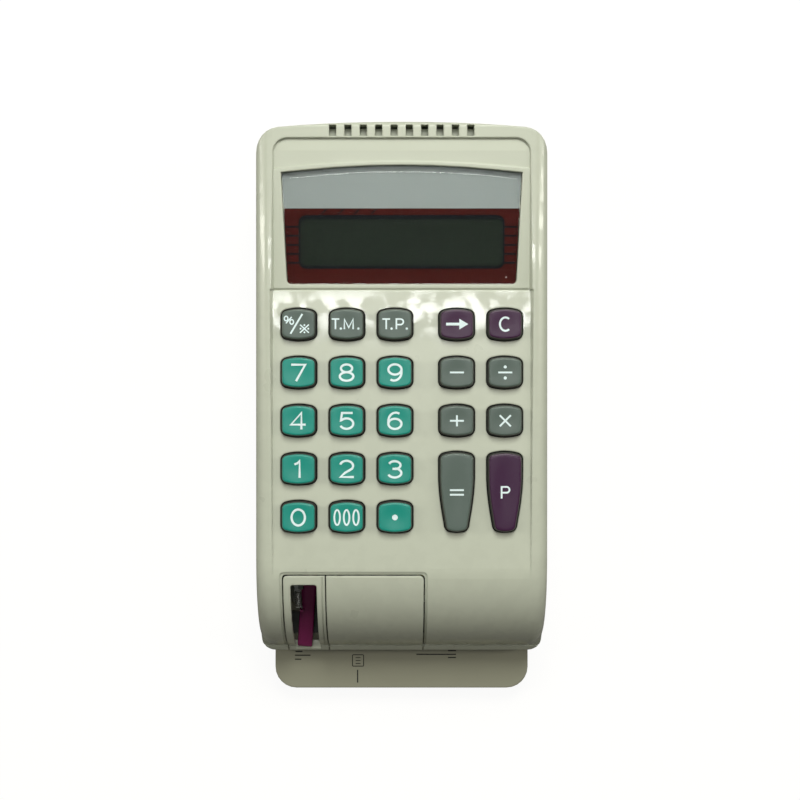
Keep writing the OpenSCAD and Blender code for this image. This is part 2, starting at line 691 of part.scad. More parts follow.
module lens_layer(top, bottom) {
    along_x(-60, 60) polygon([[40, hood_z(40) - top], [115, hood_z(115) - top],
        [115, hood_z(115) - bottom], [40, hood_z(40) - bottom]]);
}
module display_lens() {
    color("#c8d2d0") {
        intersection() {
            lens_layer(0.8, 0.8 + lens_t);
            translate([0, 0, 40]) linear_extrude(40) polygon(mirrored(window_half(0.25)));
        }
        intersection() {
            lens_layer(roof_t + 0.35, 0.81 + lens_t);
            translate([0, 0, 40]) linear_extrude(40) polygon(mirrored(window_half(-1)));
        }
    }
}
module lcd_module() {
    lcd_y = hood_y + 20;
    color("#2a352d") intersection() {
        lens_layer(lens_t + 1, lens_t + 4.6);
        block([-lcd_w / 2, lcd_y - lcd_l / 2, 0], [lcd_w / 2, lcd_y + lcd_l / 2, far]);
    }
    color("#5d5d58") for (x = [-lcd_w / 2, lcd_w / 2 - 2]) intersection() {
        lens_layer(lens_t + 4.6, 30);
        block([x, lcd_y - lcd_l / 2, board_top], [x + 2, lcd_y + lcd_l / 2, far]);
    }
}
module key_membrane() {
    color("#4a4a48") {
        translate([0, 0, board_top]) linear_extrude(sheet_t) translate([1 - board_half, sheet_front])
            square([2 * board_half - 2, key_row_y + 8.1 - sheet_front]);
        for (r = [0:4]) for (c = [0:4]) if (!(r > 2 && c > 2))
            translate([key_x[c], key_row_y - r * key_row_step, board_top + sheet_t - eps])
                cylinder(h = key_foot_z - 0.1 - board_top - sheet_t + eps, r1 = 4, r2 = 2.2);
        for (c = [3, 4]) for (s = [-9, 9])
            translate([key_x[c], tall_key_y + s, board_top + sheet_t - eps])
                cylinder(h = key_foot_z - 0.1 - board_top - sheet_t + eps, r1 = 4, r2 = 2.2);
    }
}
module main_board() {
    color("#2f6b3c") difference() {
        union() {
            block([-board_half, board_front, board_top - board_t], [board_half, board_back, board_top]);
            block([-14, 60, board_top - board_t - 2], [6, 74, board_top - board_t]);
            for (x = [-40, 24]) block([x, 84, board_top - board_t - 6], [x + 14, 90, board_top - board_t]);
            for (y = [10, 24, 38]) block([30, y, board_top - board_t - 1.6], [40, y + 5, board_top - board_t]);
        }
        for (p = board_screws) z_rod(40, 60, p[0], p[1], 1.35);
    }
}
module ear(x) {
    along_x(x, x + ear_t) children();
}
module print_frame() {
    color("#9a9c98") {
        difference() {
            block([frame_side - half_w, frame_front, frame_z],
                [half_w - frame_side, frame_back, frame_z + frame_t]);
            for (x = [feed_left_x, feed_right_x])
                block([x - 4.6, pinch_y - 10.8, 0], [x + 4.6, pinch_y + 7.4, 60]);
            block([type_x - 4, type_y - 10, 0], [type_x + 4, type_y + 10, 60]);
            for (x = [-guide_screw_x, guide_screw_x]) for (y = guide_screw_y)
                z_rod(0, 60, x, y, 1.4);
            block([6, type_y - 9.4, 0], [10, type_y + 9.4, 60]);
        }
        for (x = [ear_x[0], ear_x[3]]) difference() {
            ear(x) polygon([[-68, frame_z + 1], [-53, frame_z + 1], [-55, 33], [-65, 33]]);
            x_rod(x - 1, x + 3, release_y, release_z, release_r + bearing_gap);
        }
        for (x = [ear_x[1], ear_x[2]]) difference() {
            ear(x) polygon([[-88, frame_z + 1], [-54, frame_z + 1], [-55, 33], [-62, 47], [-78, 47],
                [-84, 33]]);
            x_rod(x - 1, x + 3, release_y, release_z, release_r + bearing_gap);
            x_rod(x - 1, x + 3, type_y, type_z, small_r + bearing_gap);
            x_rod(x - 1, x + 3, motor_y, motor_z, 2.2);
        }
        block([ear_x[1], -65.5, frame_z + 1], [ear_x[2] + ear_t, -64, 46.5]);
        block([hook_x - 1, -65.5, hook_z - 1.2], [ear_x[1] + 1, -64, hook_z + 1.2]);
        block([hook_x - 1, spring_place[1] + 1.3, hook_z - 1.2], [hook_x + 1, -64, hook_z + 1.2]);
    }
}
module type_wheel() {
    color("#b9bcc0") difference() {
        union() {
            x_rod(type_x - 2.5, type_x + 2.5, type_y, type_z, type_r - 0.8);
            for (i = [0:11]) translate([type_x, type_y, type_z]) rotate([30 * i, 0, 0])
                translate([-1.7, -1, type_r - 1.4]) cube([3.4, 2, 1.36]);
        }
        x_rod(type_x - 5, type_x + 5, type_y, type_z, small_r + 0.01);
    }
}
module type_shaft() {
    color("#d6d2c0") {
        x_rod(ear_x[1] - 0.8, ear_x[2] + ear_t + 0.6, type_y, type_z, small_r);
        x_gear(6.6, 9.4, type_y, type_z, gear_m, type_teeth, 45);
    }
}
module type_pinion() {
    color("#c9a24a") difference() {
        x_gear(6.6, 9.4, motor_y, motor_z, gear_m, pinion_teeth, 45 + 180 / pinion_teeth);
        x_rod(5, 12, motor_y, motor_z, 1 + bearing_gap);
    }
}
module type_motor() {
    color("#8d9093") {
        x_rod(ear_x[2] + ear_t + 0.1, ear_x[2] + ear_t + 15, motor_y, motor_z, 8.6);
        x_rod(6.2, ear_x[2] + ear_t + 1, motor_y, motor_z, 1);
    }
}
module ink_roller() {
    color("#26252b") difference() {
        x_rod(type_x - 5, type_x + 5, ink_y, ink_z, ink_r);
        x_rod(type_x - 6, type_x + 6, ink_y, ink_z, 1 + bearing_gap);
    }
}
module ink_holder() {
    color("#55565a") {
        x_rod(type_x - 7.2, type_x + 7.2, ink_y, ink_z, 1);
        for (x = [type_x - 7, type_x + 5.5]) ear(x) polygon([[ink_y - 2.4, ink_z - 2],
            [ink_y + 2.4, ink_z - 2.2], [-66, 44], [-66, 49.6], [-76, 50], [ink_y - 2.4, ink_z + 5]]);
        block([type_x - 7, -75, 48.4], [type_x + 7, -62.4, 49.8]);
        block([type_x - 7, -63.8, 42], [type_x + 7, -62.4, 49.6]);
    }
}
module hammer_arm() {
    color("#a7a9a6") {
        difference() {
            union() {
                block([type_x - 1.8, type_y - 4, hammer_z - 1], [type_x + 1.8, hammer_y, hammer_z + 0.6]);
                block([type_x - 4.4, type_y - 4.4, hammer_z - 1], [type_x + 4.4, type_y + 4.4, table_z - 0.2]);
                x_rod(type_x - 1.8, type_x + 1.8, hammer_y, hammer_z, 1.7);
                block([type_x - 1.8, hammer_y - 0.5, hammer_z], [type_x + 1.8, hammer_y + 1, plunger_z + 2.6]);
            }
            y_rod(hammer_y - 3, hammer_y + 3, type_x, plunger_z, 1.4);
        }
        x_rod(type_x - 3.4, type_x + 3.4, hammer_y, hammer_z, 1);
    }
}
module hammer_plunger() {
    color("#c4c6c8") {
        y_rod(hammer_y - 2.2, hammer_y - 1.2, type_x, plunger_z, 2.2);
        y_rod(hammer_y - 1.5, hammer_y + 8, type_x, plunger_z, 1);
        y_rod(hammer_y + 7.8, hammer_y + 22, type_x, plunger_z, 2.2);
    }
}
module hammer_solenoid() {
    color("#7c7f82") difference() {
        block([type_x - 7.5, -37.5, plunger_z - 5.4], [type_x + 7.5, -18.5, plunger_z + 6]);
        y_rod(-39, -20, type_x, plunger_z, 2.2 + bearing_gap);
    }
}
module feed_roller(x) {
    color("#8d9093") {
        y_rod(pinch_y - 11.4, belt_y + 10.1, x, feed_z, small_r);
        y_rod(belt_y, belt_y + belt_w, x, feed_z, pulley_r);
    }
    color("#3a3a3a") difference() {
        y_rod(pinch_y - 6, pinch_y + 6, x, feed_z, feed_r);
        y_rod(pinch_y - 7, pinch_y + 7, x, feed_z, small_r);
    }
}
module feed_roller_left() feed_roller(feed_left_x);
module feed_roller_right() {
    feed_roller(feed_right_x);
    color("#d6d2c0") y_gear(-38.4, -35.6, feed_right_x, feed_z, feed_m, feed_teeth, 90);
}
module belt_loop(r) {
    for (x = [feed_left_x, feed_right_x]) translate([x, -feed_z]) circle(r);
    translate([feed_left_x, -feed_z - r]) square([feed_right_x - feed_left_x, 2 * r]);
}
module feed_belt() {
    color("#2c2c2c") translate([0, belt_y + 0.2, 0]) rotate([-90, 0, 0])
        linear_extrude(belt_w - 0.4) difference() {
            belt_loop(pulley_r + 0.65);
            belt_loop(pulley_r + 0.15);
        }
}
module feed_gear() {
    color("#c9a24a") {
        y_gear(-38.4, -35.6, feed_right_x, feed_gear_z, feed_m, feed_gear_teeth, 90 + 6);
        y_rod(-38.4, -30, feed_right_x, feed_gear_z, 1.2);
    }
}
module feed_motor() {
    color("#8d9093") difference() {
        union() {
            y_rod(-32, -8, feed_right_x, feed_gear_z, 8);
            block([feed_right_x - 5.5, -31, feed_gear_z - 8], [feed_right_x + 5.5, -10, feed_gear_z]);
        }
        y_rod(-35, -29, feed_right_x, feed_gear_z, 1.2 + bearing_gap);
    }
}
module batteries() {
    color("#3d4a3f") for (i = [0:3]) {
        y = bay_front + 7.7 + i * battery_pitch;
        s = i % 2 == 0 ? 1 : -1;
        x_rod(-battery_l / 2 - s * 0.6, battery_l / 2 - s * 0.6, y, battery_z, battery_d / 2);
        x_rod(s > 0 ? battery_l / 2 - 0.7 : -battery_l / 2 - 0.5, s > 0 ? battery_l / 2 + 0.5 :
            -battery_l / 2 + 0.7, y, battery_z, 2.7);
    }
}
module battery_contacts() {
    color("silver") for (s = [-1, 1]) for (i = [0:3]) {
        y = bay_front + 7.7 + i * battery_pitch;
        flat = (i % 2 == 0) == (s > 0);
        x0 = s > 0 ? bay_half - 0.7 : -bay_half + 0.1;
        block([x0, y - 5, battery_z - 5], [x0 + 0.6, y + 5, battery_z + 5]);
        if (flat) x_rod(s > 0 ? battery_l / 2 + 0.7 : -bay_half + 0.6,
            s > 0 ? bay_half - 0.6 : -battery_l / 2 - 0.7, y, battery_z, 2);
        else x_rod(s > 0 ? battery_l / 2 + 0.8 : -bay_half + 0.6,
            s > 0 ? bay_half - 0.6 : -battery_l / 2 - 0.8, y, battery_z, 3.4);
    }
}
module battery_cover() {
    color(cream) {
        block([-cover_half, bay_front - 2.3, foot_h], [cover_half, back_y - 2, foot_h + 1.8]);
        block([-cover_half - 1.2, bay_front - 2.3, foot_h + 0.75], [cover_half + 1.2, back_y - 4,
            foot_h + 1.45]);
        for (i = [0:4]) block([-12, back_y - 16 + 2 * i, foot_h - 0.5], [12, back_y - 15 + 2 * i, foot_h]);
    }
}
module power_board() {
    color("#26272b") {
        difference() {
            union() {
                block([jack_x - 4.5, back_y - 17, floor_z + 0.2], [jack_x + 4.5, back_y - 5.5, 15]);
                y_rod(back_y - 6, back_y - 3, jack_x, 10.2, 3.9);
            }
            y_rod(back_y - 14, back_y, jack_x, 10.2, 2.8);
        }
        y_rod(back_y - 14.5, back_y - 5, jack_x, 10.2, 1);
        block([switch_x - switch_body, back_y - 14, floor_z + 0.2], [switch_x + switch_body, back_y - 8.5, 15]);
    }
}
module switch_knob() {
    color("#26272b") {
        block([switch_x - 1, back_y - 8.3, 9.4], [switch_x + 4.6, back_y - 5.6, 12.2]);
        block([switch_x + 0.6, back_y - 6, 9.4], [switch_x + 3, back_y - 2.4, 12.2]);
    }
}
module rubber_feet() {
    color("#3a3a38") for (p = foot_places) {
        z_rod(0, foot_h - 0.05, p[0], p[1], foot_r);
        z_rod(foot_h - 0.5, foot_h + 0.7, p[0], p[1], foot_r - 1);
    }
}
module housing_screws() {
    color("#b9bcc0") {
        for (x = [-boss_x, boss_x]) for (y = boss_y) {
            z_rod(foot_h + 1.1, foot_h + 3, x, y, 2.8);
            z_rod(foot_h + 2, 29, x, y, screw_r);
        }
        for (x = [-guide_screw_x, guide_screw_x]) for (y = guide_screw_y) {
            translate([x, y, guide_z + 0.05]) cylinder(h = 1.2, r1 = 2.3, r2 = 1.25);
            z_rod(guide_z + 0.1, 28, x, y, 1.25);
        }
        for (p = board_screws) {
            z_rod(board_top - board_t - 1.3, board_top - board_t - 0.05, p[0], p[1], 2.4);
            z_rod(board_top - board_t - 0.5, board_top + 4, p[0], p[1], 1.25);
        }
    }
}
// A key cap: flange under the panel and a cap that narrows to its top
module cap(x, y, tall, tint) {
    color(tint) translate([x, y, 0]) {
        translate([0, 0, key_foot_z]) linear_extrude(panel_under - 0.2 - key_foot_z) {
            if (tall) polygon(tall_key(flange_grow));
            else polygon(short_key(flange_grow));
        }
        hull() {
            translate([0, 0, panel_under - 0.3]) linear_extrude(2.6) {
                if (tall) polygon(tall_key(-key_gap));
                else polygon(short_key(-key_gap));
            }
            translate([0, 0, panel_z + key_rise - 0.5]) linear_extrude(0.5) {
                if (tall) polygon(tall_key(-key_gap - key_lean));
                else polygon(short_key(-key_gap - key_lean));
            }
        }
    }
}
teal = "#34928a";
grey = "#616d67";
purple = "#4d3048";
module short_cap(row, column, tint) {
    cap(key_x[column], key_row_y - row * key_row_step, false, tint);
}
module key_percent() short_cap(0, 0, grey);
module key_memory() short_cap(0, 1, grey);
module key_recall() short_cap(0, 2, grey);
module key_advance() short_cap(0, 3, purple);
module key_clear() short_cap(0, 4, purple);
module key_7() short_cap(1, 0, teal);
module key_8() short_cap(1, 1, teal);
module key_9() short_cap(1, 2, teal);
module key_minus() short_cap(1, 3, grey);
module key_divide() short_cap(1, 4, grey);
module key_4() short_cap(2, 0, teal);
module key_5() short_cap(2, 1, teal);
module key_6() short_cap(2, 2, teal);
module key_plus() short_cap(2, 3, grey);
module key_multiply() short_cap(2, 4, grey);
module key_1() short_cap(3, 0, teal);
module key_2() short_cap(3, 1, teal);
module key_3() short_cap(3, 2, teal);
module key_equals() cap(key_x[3], tall_key_y, true, grey);
module key_print() cap(key_x[4], tall_key_y, true, purple);
module key_0() short_cap(4, 0, teal);
module key_000() short_cap(4, 1, teal);
module key_point() short_cap(4, 2, teal);

upper_housing();
lower_housing();
check_table();
throat_guide();
lever_bezel();
ink_cover();
release_lever();
release_shaft();
pinch_roller_left();
pinch_roller_right();
lever_spring();
display_lens();
lcd_module();
key_membrane();
main_board();
print_frame();
type_wheel();
type_shaft();
type_pinion();
type_motor();
ink_roller();
ink_holder();
hammer_arm();
hammer_plunger();
hammer_solenoid();
feed_roller_left();
feed_roller_right();
feed_belt();
feed_gear();
feed_motor();
batteries();
battery_contacts();
battery_cover();
power_board();
switch_knob();
rubber_feet();
housing_screws();
key_percent();
key_memory();
key_recall();
key_advance();
key_clear();
key_7();
key_8();
key_9();
key_minus();
key_divide();
key_4();
key_5();
key_6();
key_plus();
key_multiply();
key_1();
key_2();
key_3();
key_equals();
key_print();
key_0();
key_000();
key_point();
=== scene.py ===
"""Looks of a desk check writer: keys, display window, lever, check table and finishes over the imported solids.

Lengths inside the shape functions are millimetres in the frame of the solids; mesh() turns them to metres.
"""

import math

import bpy
import numpy as np
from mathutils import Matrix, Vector


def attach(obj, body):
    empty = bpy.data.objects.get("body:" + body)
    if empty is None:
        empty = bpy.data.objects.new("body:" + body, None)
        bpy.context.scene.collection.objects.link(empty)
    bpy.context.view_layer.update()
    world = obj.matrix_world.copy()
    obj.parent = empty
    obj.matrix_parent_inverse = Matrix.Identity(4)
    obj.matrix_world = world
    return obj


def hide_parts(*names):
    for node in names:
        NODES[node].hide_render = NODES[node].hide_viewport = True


bl_info = {
    "name": "Desk check writer",
    "version": (1, 0, 0),
    "blender": (4, 5, 0),
    "location": "3D View > Sidebar > Check writer",
    "description": "Keys, display, lever spring, marks and finishes of a desk check writer",
    "category": "Add Mesh",
}

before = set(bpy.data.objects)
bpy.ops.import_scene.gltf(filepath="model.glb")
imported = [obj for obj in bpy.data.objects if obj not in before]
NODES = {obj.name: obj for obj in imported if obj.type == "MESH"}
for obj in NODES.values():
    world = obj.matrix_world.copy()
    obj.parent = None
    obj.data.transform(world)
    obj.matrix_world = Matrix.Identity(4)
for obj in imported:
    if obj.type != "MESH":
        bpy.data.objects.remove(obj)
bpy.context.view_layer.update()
MM = 0.001

# Places taken from the solids, in millimetres
PANEL_Z = 57.6  # the sunk key panel
KEY_PITCH = 20.0
KEY_X = (-42.8, -22.8, -2.8, 22.85, 42.85)
KEY_ROW_Y = 38.3
TALL_KEY_Y = -31.35
KEY_FOOT_Z = 53.4
FLANGE_TOP_Z = 55.15
HOOD_Y = 52.6  # front edge of the display surround
HOOD_Z = 57.3  # its height there
HOOD_SLOPE = math.tan(math.radians(4.7))
RAIL_X = 53.4  # inner edge of the side rails
BACK_Y = 122.0
TABLE_Z = 11.5
SPRING_PLACE = (-44.6, -75.4, 39.2)
SPRING_TILT = 35.0
SPRING_LENGTH, SPRING_TURNS, SPRING_RADIUS = 8.6, 7, 1.4
SHAFT_Y, SHAFT_Z = -60.0, 28.0
LEVER_X, LEVER_W = -39.2, 6.5
LEVER_SWING = -4.6  # degrees the lever is turned to the left, seen from above

# Key caps, in millimetres
KEY_SIZES, TALL_KEY_SIZES = (15.5, 15.5, 14.3), (15.5, 10.6, 34.4)  # width, front width, length
KEY_DISH_HALF, TALL_KEY_DISH_HALF = (6.4, 5.8), (5.6, 16.0)  # half width, half length
KEY_GAP = 0.42  # between the opening and the cap
KEY_LEAN = 0.7  # how far the sides lean in
KEY_TOP_Z = 61.5
FLANGE_OUT = -0.85  # the flange under the panel, beyond the opening
END_TURN = 74  # degrees at which a corner runs on into the flat arc of an end
KEY_STEPS = 120  # points of an outline
GAP_SHADE_RINGS = 4  # lowest rings of faces, up to 3.1 mm over the panel: painted shade, near black, standing in for the shade of the gap round a key

# Printed layers, in millimetres
INK_LIFT, INK_DROP = 0.025, 0.08  # above a key's top, and thickness
CARD_DEPTH, FRAME_DEPTH, STRIPE_DEPTH, GLASS_DEPTH = 2.92, 2.90, 2.89, 2.86  # below the slope
PRINT_DROP, MARK_DROP = 0.03, 0.05  # thickness
BAND_Y = 86.7  # where the red field ends and the silver band begins
ARCH = 780  # twice the radius of the window's arched back edge

# Camera straight above the desk, in metres, and its lens in millimetres
CAMERA_PLACE = (-0.0007, 0.0069, 0.658)
CAMERA_LENS = 64.9
FLOOR_HALF = 2500

# Keys: name, column, row, colour, legend; the tall ones have no row
SHORT_KEYS = (
    ("key_percent", 0, 0, "grey", "percent"), ("key_memory", 1, 0, "grey", "T.M."),
    ("key_recall", 2, 0, "grey", "T.P."), ("key_advance", 3, 0, "purple", "arrow"),
    ("key_clear", 4, 0, "purple", "C"), ("key_7", 0, 1, "teal", "7"), ("key_8", 1, 1, "teal", "8"),
    ("key_9", 2, 1, "teal", "9"), ("key_minus", 3, 1, "grey", "minus"),
    ("key_divide", 4, 1, "grey", "divide"), ("key_4", 0, 2, "teal", "4"),
    ("key_5", 1, 2, "teal", "5"), ("key_6", 2, 2, "teal", "6"), ("key_plus", 3, 2, "grey", "plus"),
    ("key_multiply", 4, 2, "grey", "multiply"), ("key_1", 0, 3, "teal", "1"),
    ("key_2", 1, 3, "teal", "2"), ("key_3", 2, 3, "teal", "3"), ("key_0", 0, 4, "teal", "0"),
    ("key_000", 1, 4, "teal", "000"), ("key_point", 2, 4, "teal", "dot"),
)
TALL_KEYS = (("key_equals", 3, "grey", "equals"), ("key_print", 4, "purple", "P"))


# ---------------------------------------------------------------- settings

def length(name, description, default, low, high):
    """A setting that is a length, given in millimetres and kept in metres."""
    return bpy.props.FloatProperty(
        name=name, description=description, default=default * MM, min=low * MM, max=high * MM,
        unit="LENGTH", subtype="DISTANCE", precision=5)


class CheckWriterSizes(bpy.types.PropertyGroup):
    key_edge: length("Key edge", "Rounding of the upper edge of a key", 0.55, 0.2, 1.0)
    key_dish: length("Key dish", "Depth of the hollow in a key's top", 0.28, 0.0, 0.6)
    legend_stroke: length("Number stroke", "Width of the strokes of the printed numbers", 0.94, 0.3, 1.2)
    sign_stroke: length("Sign stroke", "Width of the strokes of the printed signs and letters",
                        0.75, 0.3, 1.2)
    lens_chamfer: length("Window chamfer", "Width of the sloped edge round the clear window", 2.3, 0.3, 3.0)
    lever_edge: length("Lever edge", "Rounding of the lever's long edges", 0.8, 0.3, 1.5)
    spring_wire: length("Spring wire", "Diameter of the wire of the lever spring", 0.5, 0.3, 0.7)
    moulded_edge: length("Moulded edge", "Rounding that the casing's edges show", 1.0, 0.1, 1.5)


def linear(code):
    """Linear red, green, blue and alpha of an sRGB hex colour."""
    s = np.array([int(code[i:i + 2], 16) for i in (1, 3, 5)]) / 255
    c = np.where(s <= 0.04045, s / 12.92, ((s + 0.055) / 1.055) ** 2.4)
    return (*c.tolist(), 1.0)


def colour(name, description, code):
    """A setting that is a colour, given as an sRGB hex code."""
    return bpy.props.FloatVectorProperty(
        name=name, description=description, size=4, min=0.0, max=1.0, subtype="COLOR",
        default=linear(code))


class CheckWriterColours(bpy.types.PropertyGroup):
    casing: colour("Casing", "Cream of the moulded casing", "#cbcfbf")
    table: colour("Table", "Cream of the check table", "#9b9a88")
    teal: colour("Number keys", "Teal of the number keys", "#189486")
    grey: colour("Sign keys", "Grey of the sign keys", "#5b6963")
    purple: colour("Command keys", "Purple of the command keys", "#3c153c")
    lever: colour("Lever", "Purple of the lever", "#862a5e")
    legend: colour("Legends", "White of the printed legends", "#eafaff")
    silver: colour("Silver band", "Silver of the printed band over the display", "#88888c")
    red: colour("Red field", "Red of the printed field round the display", "#380605")
    navy: colour("Navy lines", "Navy of the printed lines", "#060912")
    display: colour("Display", "Green grey of the display at rest", "#0f1711")


# ---------------------------------------------------------------- mesh helpers

def mesh(name, points, faces, material, smooth=True):
    """A mesh object at the origin from points in millimetres and lists of vertex numbers."""
    data = bpy.data.meshes.new(name)
    data.from_pydata((np.asarray(points, float) * MM).tolist(), [], faces)
    data.polygons.foreach_set("use_smooth", np.full(len(data.polygons), smooth))
    data.materials.append(material)
    data.update()
    piece = bpy.data.objects.new(name, data)
    bpy.context.scene.collection.objects.link(piece)
    return piece


def join_parts(parts):
    """One point array and face list from several (points, faces) pairs."""
    points, faces, start = [], [], 0
    for p, f in parts:
        points.append(p)
        faces += [[start + i for i in face] for face in f]
        start += len(p)
    return np.concatenate(points), faces


def ring_faces(rings, count, closed_loop=False):
    """Quads between successive rings of count points; closed_loop joins the last ring to the first."""
    a = np.arange(rings if closed_loop else rings - 1)[:, None]
    b = np.arange(count)[None, :]
    nxt, up = (b + 1) % count, (a + 1) % rings
    quads = np.stack([a * count + b, a * count + nxt, up * count + nxt, up * count + b], -1)
    return quads.reshape(-1, 4).tolist()


def closed_stack(rings):
    """A closed body from rings of one length: quads between them and a flat end on the first and last."""
    n, count = len(rings), len(rings[0])
    ends = [list(range(count - 1, -1, -1)), list(range((n - 1) * count, n * count))]
    return np.concatenate(rings), ring_faces(n, count) + ends


def soft_loop(corners, count, soft):
    """A closed outline of count points: the polygon through corners, walked at equal steps and blurred
    along its length by a Gaussian of width soft, which rounds its corners."""
    p = np.asarray(corners, float)
    q = np.vstack([p, p[:1]])
    s = np.concatenate([[0], np.cumsum(np.linalg.norm(np.diff(q, axis=0), axis=1))])
    t = np.arange(count) * s[-1] / count
    loop = np.stack([np.interp(t, s, q[:, 0]), np.interp(t, s, q[:, 1])], -1)
    k = np.fft.fftfreq(count, s[-1] / count)
    damp = np.exp(-2 * (math.pi * soft * k) ** 2)
    return np.real(np.fft.ifft(np.fft.fft(loop, axis=0) * damp[:, None], axis=0))


def inward(loop):
    """Unit normals that point to the inside of a counter-clockwise outline."""
    t = np.roll(loop, -1, 0) - np.roll(loop, 1, 0)
    t /= np.linalg.norm(t, axis=1)[:, None]
    return np.stack([-t[:, 1], t[:, 0]], -1)


def arc(cx, cy, rx, ry, start, end, steps=18):
    """Points of an elliptic arc from start to end degrees."""
    a = np.radians(np.linspace(start, end, steps))
    return np.stack([cx + rx * np.cos(a), cy + ry * np.sin(a)], -1)


def plate(loop, top, drop):
    """A thin closed plate: the outline at height top(x, y) and again drop lower, with a wall between."""
    n = len(loop)
    z = top(loop[:, 0], loop[:, 1])
    upper = np.column_stack([loop, z])
    lower = np.column_stack([loop, z - drop])
    faces = ring_faces(2, n) + [list(range(n, 2 * n)), list(range(n - 1, -1, -1))]
    return np.concatenate([lower, upper]), faces


def turned(x, y, degrees):
    """Two coordinates turned about their origin by an angle in degrees."""
    c, s = math.cos(math.radians(degrees)), math.sin(math.radians(degrees))
    return x * c - y * s, x * s + y * c


def level(z):
    """Height of a flat face, as a function of x and y."""
    return lambda x, y: np.full(np.shape(x), z)


def slab(grid, drop):
    """A closed sheet: a grid of points facing up, and the same grid drop lower with its walls."""
    n, m = grid.shape[:2]
    i = np.arange(n * m).reshape(n, m)
    top = np.stack([i[:-1, :-1], i[1:, :-1], i[1:, 1:], i[:-1, 1:]], -1).reshape(-1, 4)
    rim = np.concatenate([i[0, :-1], i[:-1, -1], i[-1, :0:-1], i[:0:-1, 0]])
    nxt = np.roll(rim, -1)
    wall = np.stack([rim, nxt, nxt + n * m, rim + n * m], -1)
    faces = np.concatenate([top, top[:, ::-1] + n * m, wall]).tolist()
    flat = grid.reshape(-1, 3)
    return np.concatenate([flat, flat - [0, 0, drop]]), faces


def ribbon(path, width, top, drop=0.1, closed=False):
    """A printed stroke: the path widened by half the width along its mitred normals on both sides,
    laid at height top(x, y), with a lower copy and walls so that it is a closed body."""
    p = np.asarray(path, float)
    if closed:
        ahead, behind = np.roll(p, -1, 0) - p, p - np.roll(p, 1, 0)
    else:
        ahead = np.vstack([np.diff(p, axis=0), p[-1:] - p[-2:-1]])
        behind = np.vstack([p[1:2] - p[:1], np.diff(p, axis=0)])
    ahead /= np.linalg.norm(ahead, axis=1)[:, None]
    behind /= np.linalg.norm(behind, axis=1)[:, None]
    turn = ahead + behind
    turn /= np.maximum(np.linalg.norm(turn, axis=1), 1e-6)[:, None]
    normal = np.stack([-turn[:, 1], turn[:, 0]], -1)
    mitre = np.clip(np.sum(turn * ahead, axis=1), 0.62, 1)[:, None]
    left, right = p + normal * width / 2 / mitre, p - normal * width / 2 / mitre
    section = [np.column_stack([e, top(e[:, 0], e[:, 1]) - d])
               for e, d in ((left, 0), (left, drop), (right, drop), (right, 0))]
    points = np.stack(section, 1).reshape(-1, 3)
    n = len(p)
    faces = ring_faces(n, 4, closed)
    if not closed:
        faces += [[3, 2, 1, 0], [4 * n - 4, 4 * n - 3, 4 * n - 2, 4 * n - 1]]
    return points, faces


def tube(path, radius, sides):
    """A round wire along a path: circles square to the path on a frame carried along it, closed at
    both ends by its own last ring."""
    t = np.gradient(path, axis=0)
    t /= np.linalg.norm(t, axis=1)[:, None]
    guide = np.array([0.3, 0.2, 1.0])
    u = np.cross(t, guide)
    u /= np.linalg.norm(u, axis=1)[:, None]
    v = np.cross(t, u)
    a = np.linspace(0, 2 * math.pi, sides, endpoint=False)
    ring = u[:, None] * np.cos(a)[None, :, None] + v[:, None] * np.sin(a)[None, :, None]
    return closed_stack(path[:, None] + radius * ring)


# ---------------------------------------------------------------- finishes

def add(tree, kind, inputs=None, **settings):
    """Adds one node with its settings; inputs gives each socket a value or the output that feeds it."""
    node = tree.nodes.new(kind)
    for key, value in settings.items():
        setattr(node, key, value)
    for key, value in (inputs or {}).items():
        if isinstance(value, bpy.types.NodeSocket):
            tree.links.new(value, node.inputs[key])
        else:
            node.inputs[key].default_value = value
    return node


def blank(name):
    """A new material with only its output, and that output."""
    material = bpy.data.materials.new(name)
    material.use_nodes = True
    material.node_tree.nodes.clear()
    return material, material.node_tree


def polish_patches(tree, place):
    """Weight of a wide wall's clear gloss: gives broken white streaks, since it comes and goes in
    patches about 7 mm wide. The display surround between the rails has none and looks satin."""
    patch = add(tree, "ShaderNodeTexNoise", {"Vector": place, "Scale": 1 / (7 * MM), "Detail": 2.0})
    polish = add(tree, "ShaderNodeMapRange", {"Value": patch.outputs["Fac"], "From Min": 0.44,
                 "From Max": 0.58, "To Min": 0.03, "To Max": 0.7})
    axes = add(tree, "ShaderNodeSeparateXYZ", {0: place})

    def math_node(operation, a, b=0.0):
        return add(tree, "ShaderNodeMath", {0: a, 1: b}, operation=operation).outputs[0]

    on_rail = math_node("GREATER_THAN", math_node("ABSOLUTE", axes.outputs[0]), RAIL_X * MM)
    in_front = math_node("LESS_THAN", axes.outputs[1], HOOD_Y * MM)
    return math_node("MULTIPLY", math_node("MAXIMUM", on_rail, in_front), polish.outputs[0])


